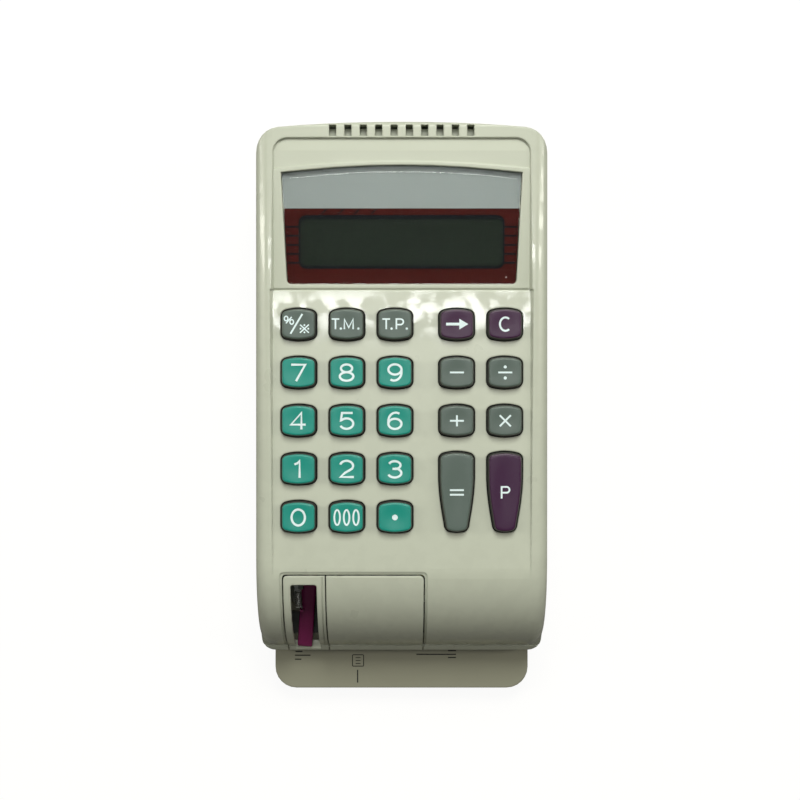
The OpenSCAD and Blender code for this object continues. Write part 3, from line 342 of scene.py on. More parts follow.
def moulded(name, tint, rough, grain_mm, grain_depth_mm, edge_mm=0.0, mottle=0.03, wave_mm=0.0, **shader):
    """A moulded plastic: fine spark-eroded grain in the bump, a faint cloudiness in the colour and the
    gloss, edges rounded by edge_mm, and where wave_mm is set the slow sink waves of a wide flat wall
    with its patches of polish. Further settings of the shader follow by their own names."""
    material, tree = blank(name)
    place = add(tree, "ShaderNodeTexCoord").outputs["Object"]
    grain = add(tree, "ShaderNodeTexNoise", {"Vector": place, "Scale": 1 / (grain_mm * MM), "Detail": 3.0})
    cloud = add(tree, "ShaderNodeTexNoise", {"Vector": place, "Scale": 1 / (22 * MM), "Detail": 4.0})
    dark = tuple(c * (1 - mottle) for c in tint[:3]) + (1.0,)
    light = tuple(min(1.0, c * (1 + mottle)) for c in tint[:3]) + (1.0,)
    body = add(tree, "ShaderNodeMix", {"Factor": cloud.outputs["Fac"], 6: dark, 7: light}, data_type="RGBA")
    gloss = add(tree, "ShaderNodeMapRange", {"Value": cloud.outputs["Fac"], "From Min": 0.3,
                "From Max": 0.7, "To Min": rough - 0.03, "To Max": rough + 0.03})
    normal = None
    if edge_mm:
        normal = add(tree, "ShaderNodeBevel", {"Radius": edge_mm * MM}, samples=6).outputs["Normal"]
    if wave_mm:
        wave = add(tree, "ShaderNodeTexNoise", {"Vector": place, "Scale": 1 / (9 * MM), "Detail": 1.0})
        feed = {"Height": wave.outputs["Fac"], "Distance": wave_mm * MM, "Strength": 1.0}
        if normal:
            feed["Normal"] = normal
        normal = add(tree, "ShaderNodeBump", feed).outputs["Normal"]
    feed = {"Height": grain.outputs["Fac"], "Distance": grain_depth_mm * MM, "Strength": 1.0}
    if normal:
        feed["Normal"] = normal
    normal = add(tree, "ShaderNodeBump", feed).outputs["Normal"]
    surface = {"Base Color": body.outputs[2], "Roughness": gloss.outputs["Result"], "Normal": normal,
               "IOR": 1.53}
    surface.update(shader)
    if wave_mm:
        surface["Coat Weight"] = polish_patches(tree, place)
    bsdf = add(tree, "ShaderNodeBsdfPrincipled", surface)
    add(tree, "ShaderNodeOutputMaterial", {"Surface": bsdf.outputs[0]})
    return material


def metal(name, tint, rough, line_mm, stretch, depth_mm, edge_mm=0.15):
    """A worked metal: lines stretched along one way for drawn or rolled stock, or round grain where
    stretch is even, in the bump and the gloss."""
    material, tree = blank(name)
    place = add(tree, "ShaderNodeTexCoord").outputs["Object"]
    turned = add(tree, "ShaderNodeMapping", {"Vector": place, "Scale": stretch})
    lines = add(tree, "ShaderNodeTexNoise", {"Vector": turned.outputs[0], "Scale": 1 / (line_mm * MM),
                "Detail": 4.0})
    blotch = add(tree, "ShaderNodeTexNoise", {"Vector": place, "Scale": 1 / (7 * MM), "Detail": 3.0})
    dark = tuple(c * 0.86 for c in tint[:3]) + (1.0,)
    body = add(tree, "ShaderNodeMix", {"Factor": blotch.outputs["Fac"], 6: dark, 7: tint}, data_type="RGBA")
    gloss = add(tree, "ShaderNodeMapRange", {"Value": lines.outputs["Fac"], "From Min": 0.3,
                "From Max": 0.7, "To Min": rough - 0.06, "To Max": rough + 0.06})
    edge = add(tree, "ShaderNodeBevel", {"Radius": edge_mm * MM}, samples=4)
    bump = add(tree, "ShaderNodeBump", {"Height": lines.outputs["Fac"], "Distance": depth_mm * MM,
               "Normal": edge.outputs["Normal"]})
    bsdf = add(tree, "ShaderNodeBsdfPrincipled", {"Base Color": body.outputs[2], "Metallic": 1.0,
               "Roughness": gloss.outputs["Result"], "Normal": bump.outputs["Normal"]})
    add(tree, "ShaderNodeOutputMaterial", {"Surface": bsdf.outputs[0]})
    return material


def acrylic(name):
    """Clear moulded acrylic: gives the eye a sharp, faint reflection and a slightly smoky depth.
    Shadow rays pass, so that the print under it is lit as through a thin window."""
    material, tree = blank(name)
    place = add(tree, "ShaderNodeTexCoord").outputs["Object"]
    # Hairline wiping scratches about 0.4 mm apart, drawn in the gloss only
    turned = add(tree, "ShaderNodeMapping", {"Vector": place, "Scale": (1.0, 0.05, 1.0),
                 "Rotation": (0.0, 0.0, 0.5)})
    hair = add(tree, "ShaderNodeTexNoise", {"Vector": turned.outputs[0], "Scale": 1 / (0.4 * MM)})
    gloss = add(tree, "ShaderNodeMapRange", {"Value": hair.outputs["Fac"], "From Min": 0.3,
                "From Max": 0.7, "To Min": 0.03, "To Max": 0.045})
    clear = add(tree, "ShaderNodeBsdfPrincipled", {"Base Color": linear("#f1f6f3"), "IOR": 1.49,
                "Transmission Weight": 1.0, "Roughness": gloss.outputs["Result"],
                "Specular IOR Level": 0.2})
    through = add(tree, "ShaderNodeBsdfTransparent", {"Color": linear("#f1f6f3")})
    ray = add(tree, "ShaderNodeLightPath")
    both = add(tree, "ShaderNodeMixShader", {0: ray.outputs["Is Shadow Ray"], 1: clear.outputs[0],
               2: through.outputs[0]})
    add(tree, "ShaderNodeOutputMaterial", {"Surface": both.outputs[0]})
    return material


def make_finishes(colours, sizes):
    """Every finish by its name. Each is named for its real material and how its surface was made, save the two
    that carry painted shade.
    """
    edge = sizes.moulded_edge / MM
    tint = {key: tuple(getattr(colours, key)) for key in CheckWriterColours.__annotations__}
    return {
        # Glossy ABS from a polished mould: gives soft highlights that wander a little on wide walls
        "casing": moulded("abs_cream_polished", tint["casing"], 0.3, 0.5, 0.0015, edge, 0.01, 0.045,
                          **{"Coat Roughness": 0.07}),
        # The same ABS with a fine matt grain: gives an even surface without highlights
        "table": moulded("abs_cream_grained", tint["table"], 0.42, 0.35, 0.004, 0.9, 0.03),
        # ABS keys with a satin top: give a broad pale sheen on their upper edges
        "teal": moulded("abs_teal_satin", tint["teal"], 0.34, 0.3, 0.003, 0.0, 0.04),
        "grey": moulded("abs_grey_satin", tint["grey"], 0.34, 0.3, 0.003, 0.0, 0.04),
        "purple": moulded("abs_purple_satin", tint["purple"], 0.34, 0.3, 0.003, 0.0, 0.05),
        # Painted shade on the lower skirts of the key caps: near black for the shade in the gap round each cap,
        # though the keys are coloured down their sides; gives a dark line round each key
        "under": moulded("abs_black_gap", linear("#10110f"), 0.6, 0.3, 0.003, 0.0, 0.05),
        # Glossy ABS lever: gives one bright line on its tip
        "lever": moulded("abs_purple_gloss", tint["lever"], 0.2, 0.6, 0.001, 0.8, 0.05),
        # Screen printing ink: gives flat, slightly matt white lines
        "legend": moulded("ink_white_printed", tint["legend"], 0.5, 0.12, 0.002, 0.0, 0.02),
        # Metallic ink behind the window: gives a cool grey that brightens towards the lamp
        "silver": moulded("ink_silver_printed", tint["silver"], 0.45, 0.1, 0.002, 0.0, 0.03,
                          **{"Metallic": 0.3, "Specular IOR Level": 0.2}),
        "red": moulded("ink_red_printed", tint["red"], 0.6, 0.1, 0.001, 0.0, 0.06,
                       **{"Specular IOR Level": 0.05}),
        "navy": moulded("ink_navy_printed", tint["navy"], 0.6, 0.1, 0.001, 0.0, 0.05,
                        **{"Specular IOR Level": 0.05}),
        # Polarised display glass: gives a nearly black green with a cloudy sheen
        "display": moulded("display_glass_polarised", tint["display"], 0.35, 0.6, 0.0005, 0.0, 0.12,
                           **{"Specular IOR Level": 0.1}),
        # Grey printing ink worn by paper: gives thin dark lines on the table
        "mark": moulded("ink_grey_worn", linear("#191b18"), 0.55, 0.3, 0.002, 0.0, 0.2),
        # Zinc plated steel sheet: gives a cool grey with rolled lines along its length
        "frame": metal("steel_zinc_sheet", linear("#9c9f9b"), 0.38, 0.15, (0.06, 1.0, 1.0), 0.004),
        # Grey steel darkened to near black: painted shade standing in for the shade deep inside the lever slot
        "oxide": metal("steel_black_oxide", linear("#4c4d4b"), 0.45, 0.15, (0.06, 1.0, 1.0), 0.004),
        # Drawn spring wire: gives small bright glints on each coil
        "wire": metal("steel_wire_drawn", linear("#f0f0ee"), 0.5, 0.08, (1.0, 1.0, 1.0), 0.001, 0.03),
        # Drawn motor can: gives a dull grey with fine rings
        "can": metal("steel_can_drawn", linear("#84878a"), 0.34, 0.12, (1.0, 0.1, 0.1), 0.003),
        # Cut brass: gives warm teeth with bright edges
        "brass": metal("brass_hobbed", linear("#b8964a"), 0.32, 0.1, (0.1, 1.0, 1.0), 0.003),
        # Cast zinc type: gives a soft grey, darkened by ink
        "type": metal("zinc_type_cast", linear("#8f9296"), 0.42, 0.25, (1.0, 1.0, 1.0), 0.01),
        # Natural nylon: gives a waxy off-white
        "nylon": moulded("nylon_natural", linear("#d8d3c0"), 0.45, 0.4, 0.003, 0.15, 0.03,
                         **{"Subsurface Weight": 0.1}),
        # Nitrile rubber ground to size: gives a matt black with a dry bloom
        "rubber": moulded("rubber_black_ground", linear("#2b2b2a"), 0.72, 0.2, 0.01, 0.25, 0.18),
        # Silicone dome sheet: gives a smooth dark grey
        "silicone": moulded("silicone_dome_sheet", linear("#3f4141"), 0.5, 0.3, 0.002, 0.3, 0.06),
        # Glass fibre board under green solder mask: gives a glossy green with a weave
        "board": moulded("board_solder_mask", linear("#235a34"), 0.3, 0.6, 0.004, 0.1, 0.15),
        # Black ABS: gives a plain moulded grain
        "black": moulded("abs_black_grained", linear("#1d1e20"), 0.45, 0.35, 0.005, 0.3, 0.08),
        # Printed battery sleeve over steel: gives a dark satin skin
        "battery": moulded("battery_sleeve_printed", linear("#34403a"), 0.3, 0.8, 0.001, 0.4, 0.05),
        # Ink-soaked wool felt: gives a dense, dull blue black
        "felt": moulded("felt_wool_inked", linear("#16161d"), 0.92, 0.25, 0.06, 0.2, 0.25,
                        **{"Sheen Weight": 0.3, "Sheen Roughness": 0.6}),
        "acrylic": acrylic("acrylic_clear_moulded"),
    }


# The finish of each solid that stays in view
NODE_FINISH = {
    "upper_housing": "casing", "lower_housing": "casing", "lever_bezel": "casing",
    "ink_cover": "casing", "battery_cover": "casing", "check_table": "table",
    # The print frame takes steel darkened to near black, as painted shade for the inside of the lever slot
    "throat_guide": "table", "release_shaft": "frame", "print_frame": "oxide", "hammer_arm": "frame",
    "hammer_plunger": "frame", "hammer_solenoid": "can", "housing_screws": "frame",
    "battery_contacts": "wire",
    "pinch_roller_left": "rubber", "pinch_roller_right": "rubber", "feed_roller_left": "rubber",
    "feed_roller_right": "rubber", "feed_belt": "rubber", "key_membrane": "silicone",
    "rubber_feet": "rubber", "lcd_module": "black", "main_board": "board", "type_wheel": "type",
    "type_shaft": "nylon", "type_pinion": "brass", "feed_gear": "brass", "type_motor": "can",
    "feed_motor": "can", "ink_roller": "felt", "ink_holder": "black", "power_board": "black",
    "switch_knob": "black", "batteries": "battery",
}


# ---------------------------------------------------------------- keys and legends

def key_end(width, length, r, start):
    """Rear end of a key outline, from its side to its middle: a corner arc of radius r that runs on
    into a wide, flat arc with the same direction where they meet."""
    turn = math.radians(END_TURN)
    wide = r + (width / 2 - r) / math.cos(turn)
    mid = length / 2 - wide
    corner = arc(width / 2 - r, mid + (wide - r) * math.sin(turn), r, r, start, END_TURN, 8)
    return np.concatenate([corner, arc(0, mid, wide, wide, END_TURN, 90, 6)[1:]])


def key_corners(width, front_width, length, r=3.0):
    """Outline of a key opening; where front_width is less, the sides draw in by a power 1.7 curve."""
    rear = key_end(width, length, r, 0)
    if front_width == width:
        half = np.concatenate([rear[::-1] * [1, -1], rear])
    else:
        front = key_end(front_width, length, r, 14)
        t = np.linspace(0.1, 0.94, 9)
        y0, y1 = 0.9 - front[0, 1], length * 0.2
        side = np.stack([front_width / 2 + (width - front_width) / 2 * (1 - (1 - t) ** 1.7),
                         y0 + t * (y1 - y0)], -1)
        half = np.concatenate([front[::-1] * [1, -1], side, rear])
    return np.concatenate([half, half[-2:0:-1] * [-1, 1]])


def dish(half_w, half_l, top, depth):
    """Height of a key's top: a bowl (1 - q) squared deep, where q is the squared distance from the
    centre measured in half widths and half lengths."""
    def height(x, y):
        q = np.clip((x / half_w) ** 2 + (y / half_l) ** 2, 0, 1)
        return top - depth * (1 - q) ** 2
    return height


def key_cap(corners, height, edge):
    """A key cap as rings of one outline: foot, flange, skirt through the opening, sides that lean in,
    a rounded edge, then the same outline drawn towards its centre over the dished top height(x, y)."""
    loop = soft_loop(corners, KEY_STEPS, 0.2)
    n = inward(loop)
    roll = np.radians(np.linspace(0, 90, 6))
    side = [(FLANGE_OUT, KEY_FOOT_Z), (FLANGE_OUT, FLANGE_TOP_Z), (KEY_GAP, FLANGE_TOP_Z + 0.02),
            (KEY_GAP, PANEL_Z + 0.1), (KEY_GAP + KEY_LEAN * 0.85, PANEL_Z + 3.1)]
    side += [(KEY_GAP + KEY_LEAN + edge * (1 - math.cos(a)), KEY_TOP_Z - edge + edge * math.sin(a))
             for a in roll]
    rings = [np.column_stack([loop + n * d, np.full(KEY_STEPS, z)]) for d, z in side]
    last = rings[-1][:, :2]
    for s in (0.94, 0.86, 0.76, 0.64, 0.5, 0.36, 0.22, 0.1):
        xy = last * s
        rings.append(np.column_stack([xy, height(xy[:, 0], xy[:, 1])]))
    points = np.concatenate(rings + [[[0, 0, float(height(0, 0))], [0, 0, KEY_FOOT_Z]]])
    faces = ring_faces(len(rings), KEY_STEPS)
    base, k = (len(rings) - 1) * KEY_STEPS, np.arange(KEY_STEPS)
    nxt = (k + 1) % KEY_STEPS
    faces += np.stack([base + k, base + nxt, np.full(KEY_STEPS, len(points) - 2)], -1).tolist()
    faces += np.stack([nxt, k, np.full(KEY_STEPS, len(points) - 1)], -1).tolist()
    return points, faces


def dot(x, y, r, steps, last=330):
    """Ring of a dot; its stroke, a little narrower than twice r, fills its middle."""
    return arc(x, y, r, r, 0, last, steps)


def legend_strokes(n, s):
    """Strokes of each legend as (points, width, closed), in millimetres from the key's centre, for
    numbers n wide and signs s wide. Each is made of straight runs and elliptic arcs."""
    dash = ([(-2.9, 0), (2.9, 0)], s, False)
    six_ring = arc(0, -1.25, 2.7, 2.1, 0, 350, 36)
    six_tail = np.concatenate([arc(0.4, 0.0, 3.1, 3.35, 62, 180, 18), [(-2.7, -1.25)]])
    p_bowl = np.concatenate([[(-1.5, 2.3), (0.5, 2.3)], arc(0.5, 1.1, 1.25, 1.2, 80, -80, 12),
                             [(0.5, -0.1), (-1.5, -0.1)]])
    small_p_bowl = np.concatenate([[(0.6, 2.1), (2.3, 2.1)], arc(2.3, 0.95, 1.2, 1.15, 80, -80, 10),
                                   [(2.3, -0.2), (0.6, -0.2)]])
    letter, thin = s * 0.9, s * 0.72

    def t_with_dots(x):
        return [([(x - 1.6, 2.1), (x + 1.6, 2.1)], letter, False), ([(x, 2.1), (x, -2.1)], letter, False),
                (dot(x + 2.2, -1.85, 0.25, 10), 0.48, True), (dot(4.9, -1.85, 0.25, 10), 0.48, True)]

    return {
        "0": [(arc(0, 0, 2.75, 3.3, 0, 350, 36), n, True)],
        "000": [(arc(x, 0, 1.15, 3.1, 0, 350, 30), s, True) for x in (-3.9, 0, 3.9)],
        "1": [([(-1.6, 1.9), (-0.2, 2.5), (0.55, 3.45), (0.55, -3.6)], n, False)],
        "2": [(np.concatenate([arc(0, 1.35, 2.7, 2.1, 165, -35, 20),
                               [(-0.6, -1.5), (-2.5, -3.25), (3.0, -3.25)]]), n, False)],
        "3": [(arc(-0.1, 1.65, 2.4, 1.65, 160, -85, 20), n, False),
              (arc(-0.1, -1.6, 2.75, 1.85, 88, -160, 24), n, False),
              ([(-1.0, 0.12), (0.2, 0.12)], n, False)],
        "4": [([(1.3, -3.6), (1.3, 3.3), (-3.0, -1.6), (3.1, -1.6)], n, False)],
        "5": [(np.concatenate([[(2.5, 3.25), (-1.9, 3.25), (-2.35, 0.15)],
                               arc(0, -1.15, 2.75, 2.15, 140, -155, 26)]), n, False)],
        "6": [(six_ring, n, True), (six_tail, n, False)],
        "7": [([(-2.9, 3.2), (2.9, 3.2), (-0.9, -3.6)], n, False)],
        "8": [(arc(0, 1.7, 2.3, 1.6, 0, 350, 32), n, True),
              (arc(0, -1.65, 2.8, 1.75, 0, 350, 36), n, True)],
        "9": [(-six_ring, n, True), (-six_tail, n, False)],
        "minus": [dash],
        "plus": [dash, ([(0, -2.3), (0, 2.3)], s, False)],
        "multiply": [([(-2.3, -2.3), (2.3, 2.3)], s, False), ([(-2.3, 2.3), (2.3, -2.3)], s, False)],
        "divide": [dash] + [(dot(0, y, 0.34, 12), 0.66, True) for y in (-2.3, 2.3)],
        "equals": [([(-2.9, y), (2.9, y)], s, False) for y in (-0.95, 0.95)],
        "dot": [(dot(0, 0, 0.6, 18, 340), 1.18, True)],
        "C": [(arc(0.1, 0, 2.3, 2.75, 50, 310, 30), n * 0.9, False)],
        "P": [([(-1.5, -2.5), (-1.5, 2.6)], s, False), (p_bowl, s, False)],
        "arrow": [([(-4.5, 0), (1.2, 0)], 1.15, False)],
        "T.M.": t_with_dots(-4.6) + [
            ([(-0.9, -2.1), (-0.9, 2.1), (0.9, -1.5), (2.7, 2.1), (2.7, -2.1)], letter, False)],
        "T.P.": t_with_dots(-3.6) + [
            ([(0.6, -2.1), (0.6, 2.4)], letter, False), (small_p_bowl, letter, False)],
        # Percent sign, slash and reference mark
        "percent": [(arc(-5.0, 2.3, 0.75, 0.95, 0, 330, 16), thin, True),
                    (arc(-2.7, 0.9, 0.75, 0.95, 0, 330, 16), thin, True),
                    ([(-5.1, 0.3), (-2.7, 3.0)], thin, False), ([(-3.2, -4.0), (1.7, 4.2)], s, False),
                    ([(0.7, -3.6), (4.4, -0.2)], thin, False), ([(0.7, -0.2), (4.4, -3.6)], thin, False)]
                   + [(dot(2.55 + dx, -1.9 + dy, 0.2, 10), 0.38, True)
                      for dx, dy in ((0, 1.5), (0, -1.5), (1.6, 0), (-1.6, 0))],
    }


def key_legend(name, x, y, height, sizes):
    """The legend of one key as closed ribbons laid on the key's dished top."""
    def top(a, b):
        return height(a, b) + INK_LIFT

    strokes = legend_strokes(sizes.legend_stroke / MM, sizes.sign_stroke / MM)[name]
    parts = [ribbon(path, width, top, INK_DROP, closed) for path, width, closed in strokes]
    if name == "arrow":
        head = np.array([(1.0, -2.2), (4.7, 0.0), (1.0, 2.2)])
        parts.append(plate(head, top, INK_DROP))
    points, faces = join_parts(parts)
    return points + [x, y, 0], faces


# ---------------------------------------------------------------- display window

def hood(depth):
    """Height of the display surround's slope, depth below its surface."""
    return lambda x, y: HOOD_Z + (y - HOOD_Y) * HOOD_SLOPE - depth


def window_corners():
    """Corner points of the window opening: sides that spread to the back and an arched back edge."""
    right = np.concatenate([[(0, HOOD_Y + 2.5)], arc(45.7, HOOD_Y + 4.7, 2.2, 2.2, -90, -4, 5),
                            [(50.0, BACK_Y - 20.8)],
                            [(x, BACK_Y - 17.8 - x * x / ARCH) for x in (45, 38, 30, 22, 14, 6, 0)]])
    return np.concatenate([right, right[-2:0:-1] * [-1, 1]])


def lens(chamfer):
    """The clear window: its outline carried down a chamfer and a short wall, flat on both faces."""
    loop = soft_loop(window_corners(), 240, 0.5)
    middle = (loop.max(axis=0) + loop.min(axis=0)) / 2
    half = (loop.max(axis=0) - loop.min(axis=0)) / 2
    # Steps: how far inside the opening, and how deep below the slope
    face = 0.3 + chamfer
    rings = []
    for d, depth in ((0.35, 2.75), (0.3, 1.35), (0.45, 1.12), (face, 0.92), (face + 0.2, 0.85)):
        xy = middle + (loop - middle) * (1 - d / half)
        rings.append(np.column_stack([xy, hood(depth)(xy[:, 0], xy[:, 1])]))
    return closed_stack(rings)


def card_side(y):
    """Half the width of the printed card at a place along its spreading sides."""
    return 47.6 + (y - 55.1) * 2.1 / 46.1


def print_card(silver):
    """Half of the printed card as a grid: across it runs from side to side between the spreading
    edges, along it from the front to the colour change, or from there to the arched back edge."""
    u, v = np.meshgrid(np.linspace(-1, 1, 61), np.linspace(0, 1, 25), indexing="ij")
    front = BAND_Y if silver else HOOD_Y + 2.2
    flat_back = BACK_Y - 18.4 if silver else BAND_Y
    y = front + v * (flat_back - front)
    x = u * card_side(y)
    if silver:
        y = front + v * (BACK_Y - 17.9 - x * x / ARCH - front)
    grid = np.stack([x, y, hood(CARD_DEPTH)(x, y)], -1)
    return slab(grid, 0.05)


def rounded_rect(x0, x1, y0, y1, r):
    """Outline of a rectangle with quarter-circle corners."""
    return np.concatenate([arc(x1 - r, y0 + r, r, r, -90, 0, 8), arc(x1 - r, y1 - r, r, r, 0, 90, 8),
                           arc(x0 + r, y1 - r, r, r, 90, 180, 8), arc(x0 + r, y0 + r, r, r, 180, 270, 8)])


def navy_print():
    """Frame plate round the display, side stripes and ticks."""
    parts = [plate(rounded_rect(-43.0, 42.9, 61.7, 84.0, 3.2), hood(FRAME_DEPTH), PRINT_DROP)]
    for y in (79.1, 75.4, 71.6, 67.9, 64.2):
        for side in (-1, 1):
            path = [(side * 42.5, y), (side * (card_side(y) - 0.5), y)]
            parts.append(ribbon(path, 0.75, hood(STRIPE_DEPTH), PRINT_DROP))
    for x in (-32.6, -25.6, -18.9, -11.9):
        parts.append(ribbon([(x - 0.9, 84.3), (x + 1.3, 86.4)], 0.6, hood(STRIPE_DEPTH), PRINT_DROP))
    return join_parts(parts)


# ---------------------------------------------------------------- table marks and spring

def table_marks():
    """Set lines on the check table: two groups beside the entry, a box and a long centre line."""
    top = level(TABLE_Z + 0.02)
    runs = [((-47.5, -105.8), (-44.4, -105.8)), ((-47.8, -107.5), (-40.8, -107.5)),
            ((-47.8, -109.3), (-44.9, -109.3)), ((20.8, -105.4), (24.4, -105.4)),
            ((6.6, -107.1), (24.4, -107.1)), ((20.8, -108.5), (24.4, -108.5)),
            ((-19.7, -114.0), (-19.7, -119.8))]
    parts = [ribbon(run, 0.55, top, MARK_DROP) for run in runs]
    box = rounded_rect(-22.0, -17.0, -112.4, -107.3, 0.4)
    parts.append(ribbon(box, 0.4, top, MARK_DROP, True))
    parts += [ribbon([(-20.6, y), (-18.4, y)], 0.35, top, MARK_DROP) for y in (-108.6, -109.9, -111.2)]
    return join_parts(parts)


# Side outline of the lever as (y, z), from the shaft over its top to its tip and back below
LEVER_SIDE = ((-60.5, 31.4), (-66, 31.9), (-72, 31.7), (-80, 30.6), (-90, 28.2), (-97, 26.1), (-100.6, 25.0),
              (-101.7, 23.8), (-101.4, 22.2), (-98, 22.1), (-90, 24.2), (-80, 26.6), (-70, 27), (-60.5, 25.6))


def lever_arm(edge):
    """The lever: its rounded side outline carried across its width, drawn in by a quarter circle at both
    sides; a ring round the shaft; and the small post that holds the spring."""
    loop = soft_loop(LEVER_SIDE, 200, 0.35)
    n = inward(loop)
    roll = np.radians(np.linspace(0, 90, 5))
    half = LEVER_W / 2
    left = [(edge * (1 - math.sin(a)), -half + edge * (1 - math.cos(a))) for a in roll]
    rings = [np.column_stack([np.full(len(loop), x), loop + n * d])
             for d, x in left + [(d, -x) for d, x in left[::-1]]]
    arm, faces = closed_stack(rings)
    arm = arm - [0, SHAFT_Y, 0]
    x, y = turned(arm[:, 0], arm[:, 1], LEVER_SWING)
    arm = np.stack([x, y, arm[:, 2]], -1)
    arm += [LEVER_X, SHAFT_Y, 0]
    a = np.linspace(0, 2 * math.pi, 48, endpoint=False)
    round_about = np.stack([np.cos(a), np.sin(a)], -1)
    hub = np.stack([np.column_stack([np.full(48, x), round_about * r + [SHAFT_Y, SHAFT_Z]])
                    for x, r in ((LEVER_X - half, 2.03), (LEVER_X - half, 4.0),
                                 (LEVER_X + half, 4.0), (LEVER_X + half, 2.03))]).reshape(-1, 3)
    post = plate(rounded_rect(-44.0, -42.4, -84.9, -83.8, 0.35), level(33.9), 6.0)
    return join_parts([(arm, faces), (hub, ring_faces(4, 48, True)), post])


def lever_coil(wire):
    """The lever spring: a helix of seven curls with short straight ends."""
    t = np.linspace(0, 1, SPRING_TURNS * 24 + 1)
    a = 2 * math.pi * SPRING_TURNS * t
    body = np.stack([SPRING_RADIUS * np.cos(a), SPRING_RADIUS * np.sin(a), SPRING_LENGTH * t], -1)
    lead = np.linspace(1.0, 0.1, 5)
    side = np.full(5, SPRING_RADIUS)
    low = np.stack([side, np.zeros(5), -lead], -1)
    high = np.stack([side, np.zeros(5), SPRING_LENGTH + lead[::-1]], -1)
    path = np.concatenate([low, body, high])
    y, z = turned(path[:, 1], path[:, 2], 90 + SPRING_TILT)
    return tube(np.stack([path[:, 0], y, z], -1) + SPRING_PLACE, wire / 2, 10)


# ---------------------------------------------------------------- operators

FINISH = {}  # every finish by its name, filled by the first operator


def settings(context):
    return context.scene.check_writer_sizes, context.scene.check_writer_colours


def body_of_key(name):
    return "press_" + name[4:]


class CHECKWRITER_OT_finishes(bpy.types.Operator):
    """Make the finishes and put them on the solids that stay in view"""
    bl_idname = "check_writer.finishes"
    bl_label = "Finishes"

    def execute(self, context):
        sizes, colours = settings(context)
        FINISH.update(make_finishes(colours, sizes))
        for node, finish in NODE_FINISH.items():
            data = NODES[node].data
            data.materials.clear()
            data.materials.append(FINISH[finish])
        return {"FINISHED"}


class CHECKWRITER_OT_keys(bpy.types.Operator):
    """Key caps with dished tops and their printed legends"""
    bl_idname = "check_writer.keys"
    bl_label = "Keys"

    def execute(self, context):
        sizes, _ = settings(context)
        edge, depth = sizes.key_edge / MM, sizes.key_dish / MM
        rows = [(n, KEY_X[c], KEY_ROW_Y - r * KEY_PITCH, k, g, False) for n, c, r, k, g in SHORT_KEYS]
        rows += [(n, KEY_X[c], TALL_KEY_Y, k, g, True) for n, c, k, g in TALL_KEYS]
        for name, x, y, tint, legend, tall in rows:
            corners = key_corners(*(TALL_KEY_SIZES if tall else KEY_SIZES))
            top = dish(*(TALL_KEY_DISH_HALF if tall else KEY_DISH_HALF), KEY_TOP_Z, depth)
            points, faces = key_cap(corners, top, edge)
            cap = mesh("cap_" + name[4:], points + [x, y, 0], faces, FINISH[tint])
            cap.data.set_sharp_from_angle(angle=math.radians(50))
            # The lowest rings of each cap take the near black painted shade of the gap round the key
            cap.data.materials.append(FINISH["under"])
            low = [int(f < GAP_SHADE_RINGS * KEY_STEPS) for f in range(len(faces))]
            cap.data.polygons.foreach_set("material_index", low)
            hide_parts(name)
            points, faces = key_legend(legend, x, y, top, sizes)
            ink = mesh("legend_" + name[4:], points, faces, FINISH["legend"], False)
            for piece in (cap, ink):
                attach(piece, body_of_key(name))
        return {"FINISHED"}


class CHECKWRITER_OT_display(bpy.types.Operator):
    """Clear window, printed card and display glass"""
    bl_idname = "check_writer.display"
    bl_label = "Display"

    def execute(self, context):
        sizes, _ = settings(context)
        window = mesh("window_clear", *lens(sizes.lens_chamfer / MM), FINISH["acrylic"], False)
        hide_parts("display_lens")
        glass = plate(rounded_rect(-42.1, 42.0, 63.0, 82.1, 2.2), hood(GLASS_DEPTH), PRINT_DROP)
        pieces = [mesh("card_silver", *print_card(True), FINISH["silver"], False),
                  mesh("card_red", *print_card(False), FINISH["red"], False),
                  mesh("card_navy", *navy_print(), FINISH["navy"], False),
                  mesh("display_glass", *glass, FINISH["display"], False)]
        for piece in pieces + [window]:
            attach(piece, "casing")
        return {"FINISHED"}


class CHECKWRITER_OT_lever(bpy.types.Operator):
    """Release lever with a rolled tip"""
    bl_idname = "check_writer.lever"
    bl_label = "Lever"

    def execute(self, context):
        sizes, _ = settings(context)
        arm = mesh("lever_arm", *lever_arm(sizes.lever_edge / MM), FINISH["lever"])
        arm.data.set_sharp_from_angle(angle=math.radians(50))
        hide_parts("release_lever")
        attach(arm, "release")
        return {"FINISHED"}


class CHECKWRITER_OT_lever_spring(bpy.types.Operator):
    """Lever spring as a fine wire coil"""
    bl_idname = "check_writer.lever_spring"
    bl_label = "Lever spring"

    def execute(self, context):
        sizes, _ = settings(context)
        coil = mesh("coil_lever", *lever_coil(sizes.spring_wire / MM), FINISH["wire"])
        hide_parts("lever_spring")
        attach(coil, "casing")
        return {"FINISHED"}


class CHECKWRITER_OT_marks(bpy.types.Operator):
    """Printed set lines on the check table"""
    bl_idname = "check_writer.marks"
    bl_label = "Table marks"

    def execute(self, context):
        marks = mesh("table_marks", *table_marks(), FINISH["mark"], False)
        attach(marks, "casing")
        return {"FINISHED"}


# Lamps: name, place, target, width, depth, power, colour. The key lamp stands behind the object, the
# two tall ones light its sides, and the narrow one gives the broken white streaks on the key panel.
LAMPS = (
    ("lamp_key", (0.1, 0.95, 1.3), (0, 0, 0.03), 0.7, 0.7, 17.8, "#fdfff7"),
    ("lamp_left", (-1.1, 0.2, 0.9), (0, 0, 0.03), 0.12, 1.0, 4.2, "#fffdf2"),
    ("lamp_right", (1.1, 0.2, 0.9), (0, 0, 0.03), 0.12, 1.0, 4.2, "#fffdf2"),
    ("lamp_gloss", (0.0, 0.17, 2.1), (0, 0.17, 0), 0.5, 0.06, 2.6, "#ffffff"),
)


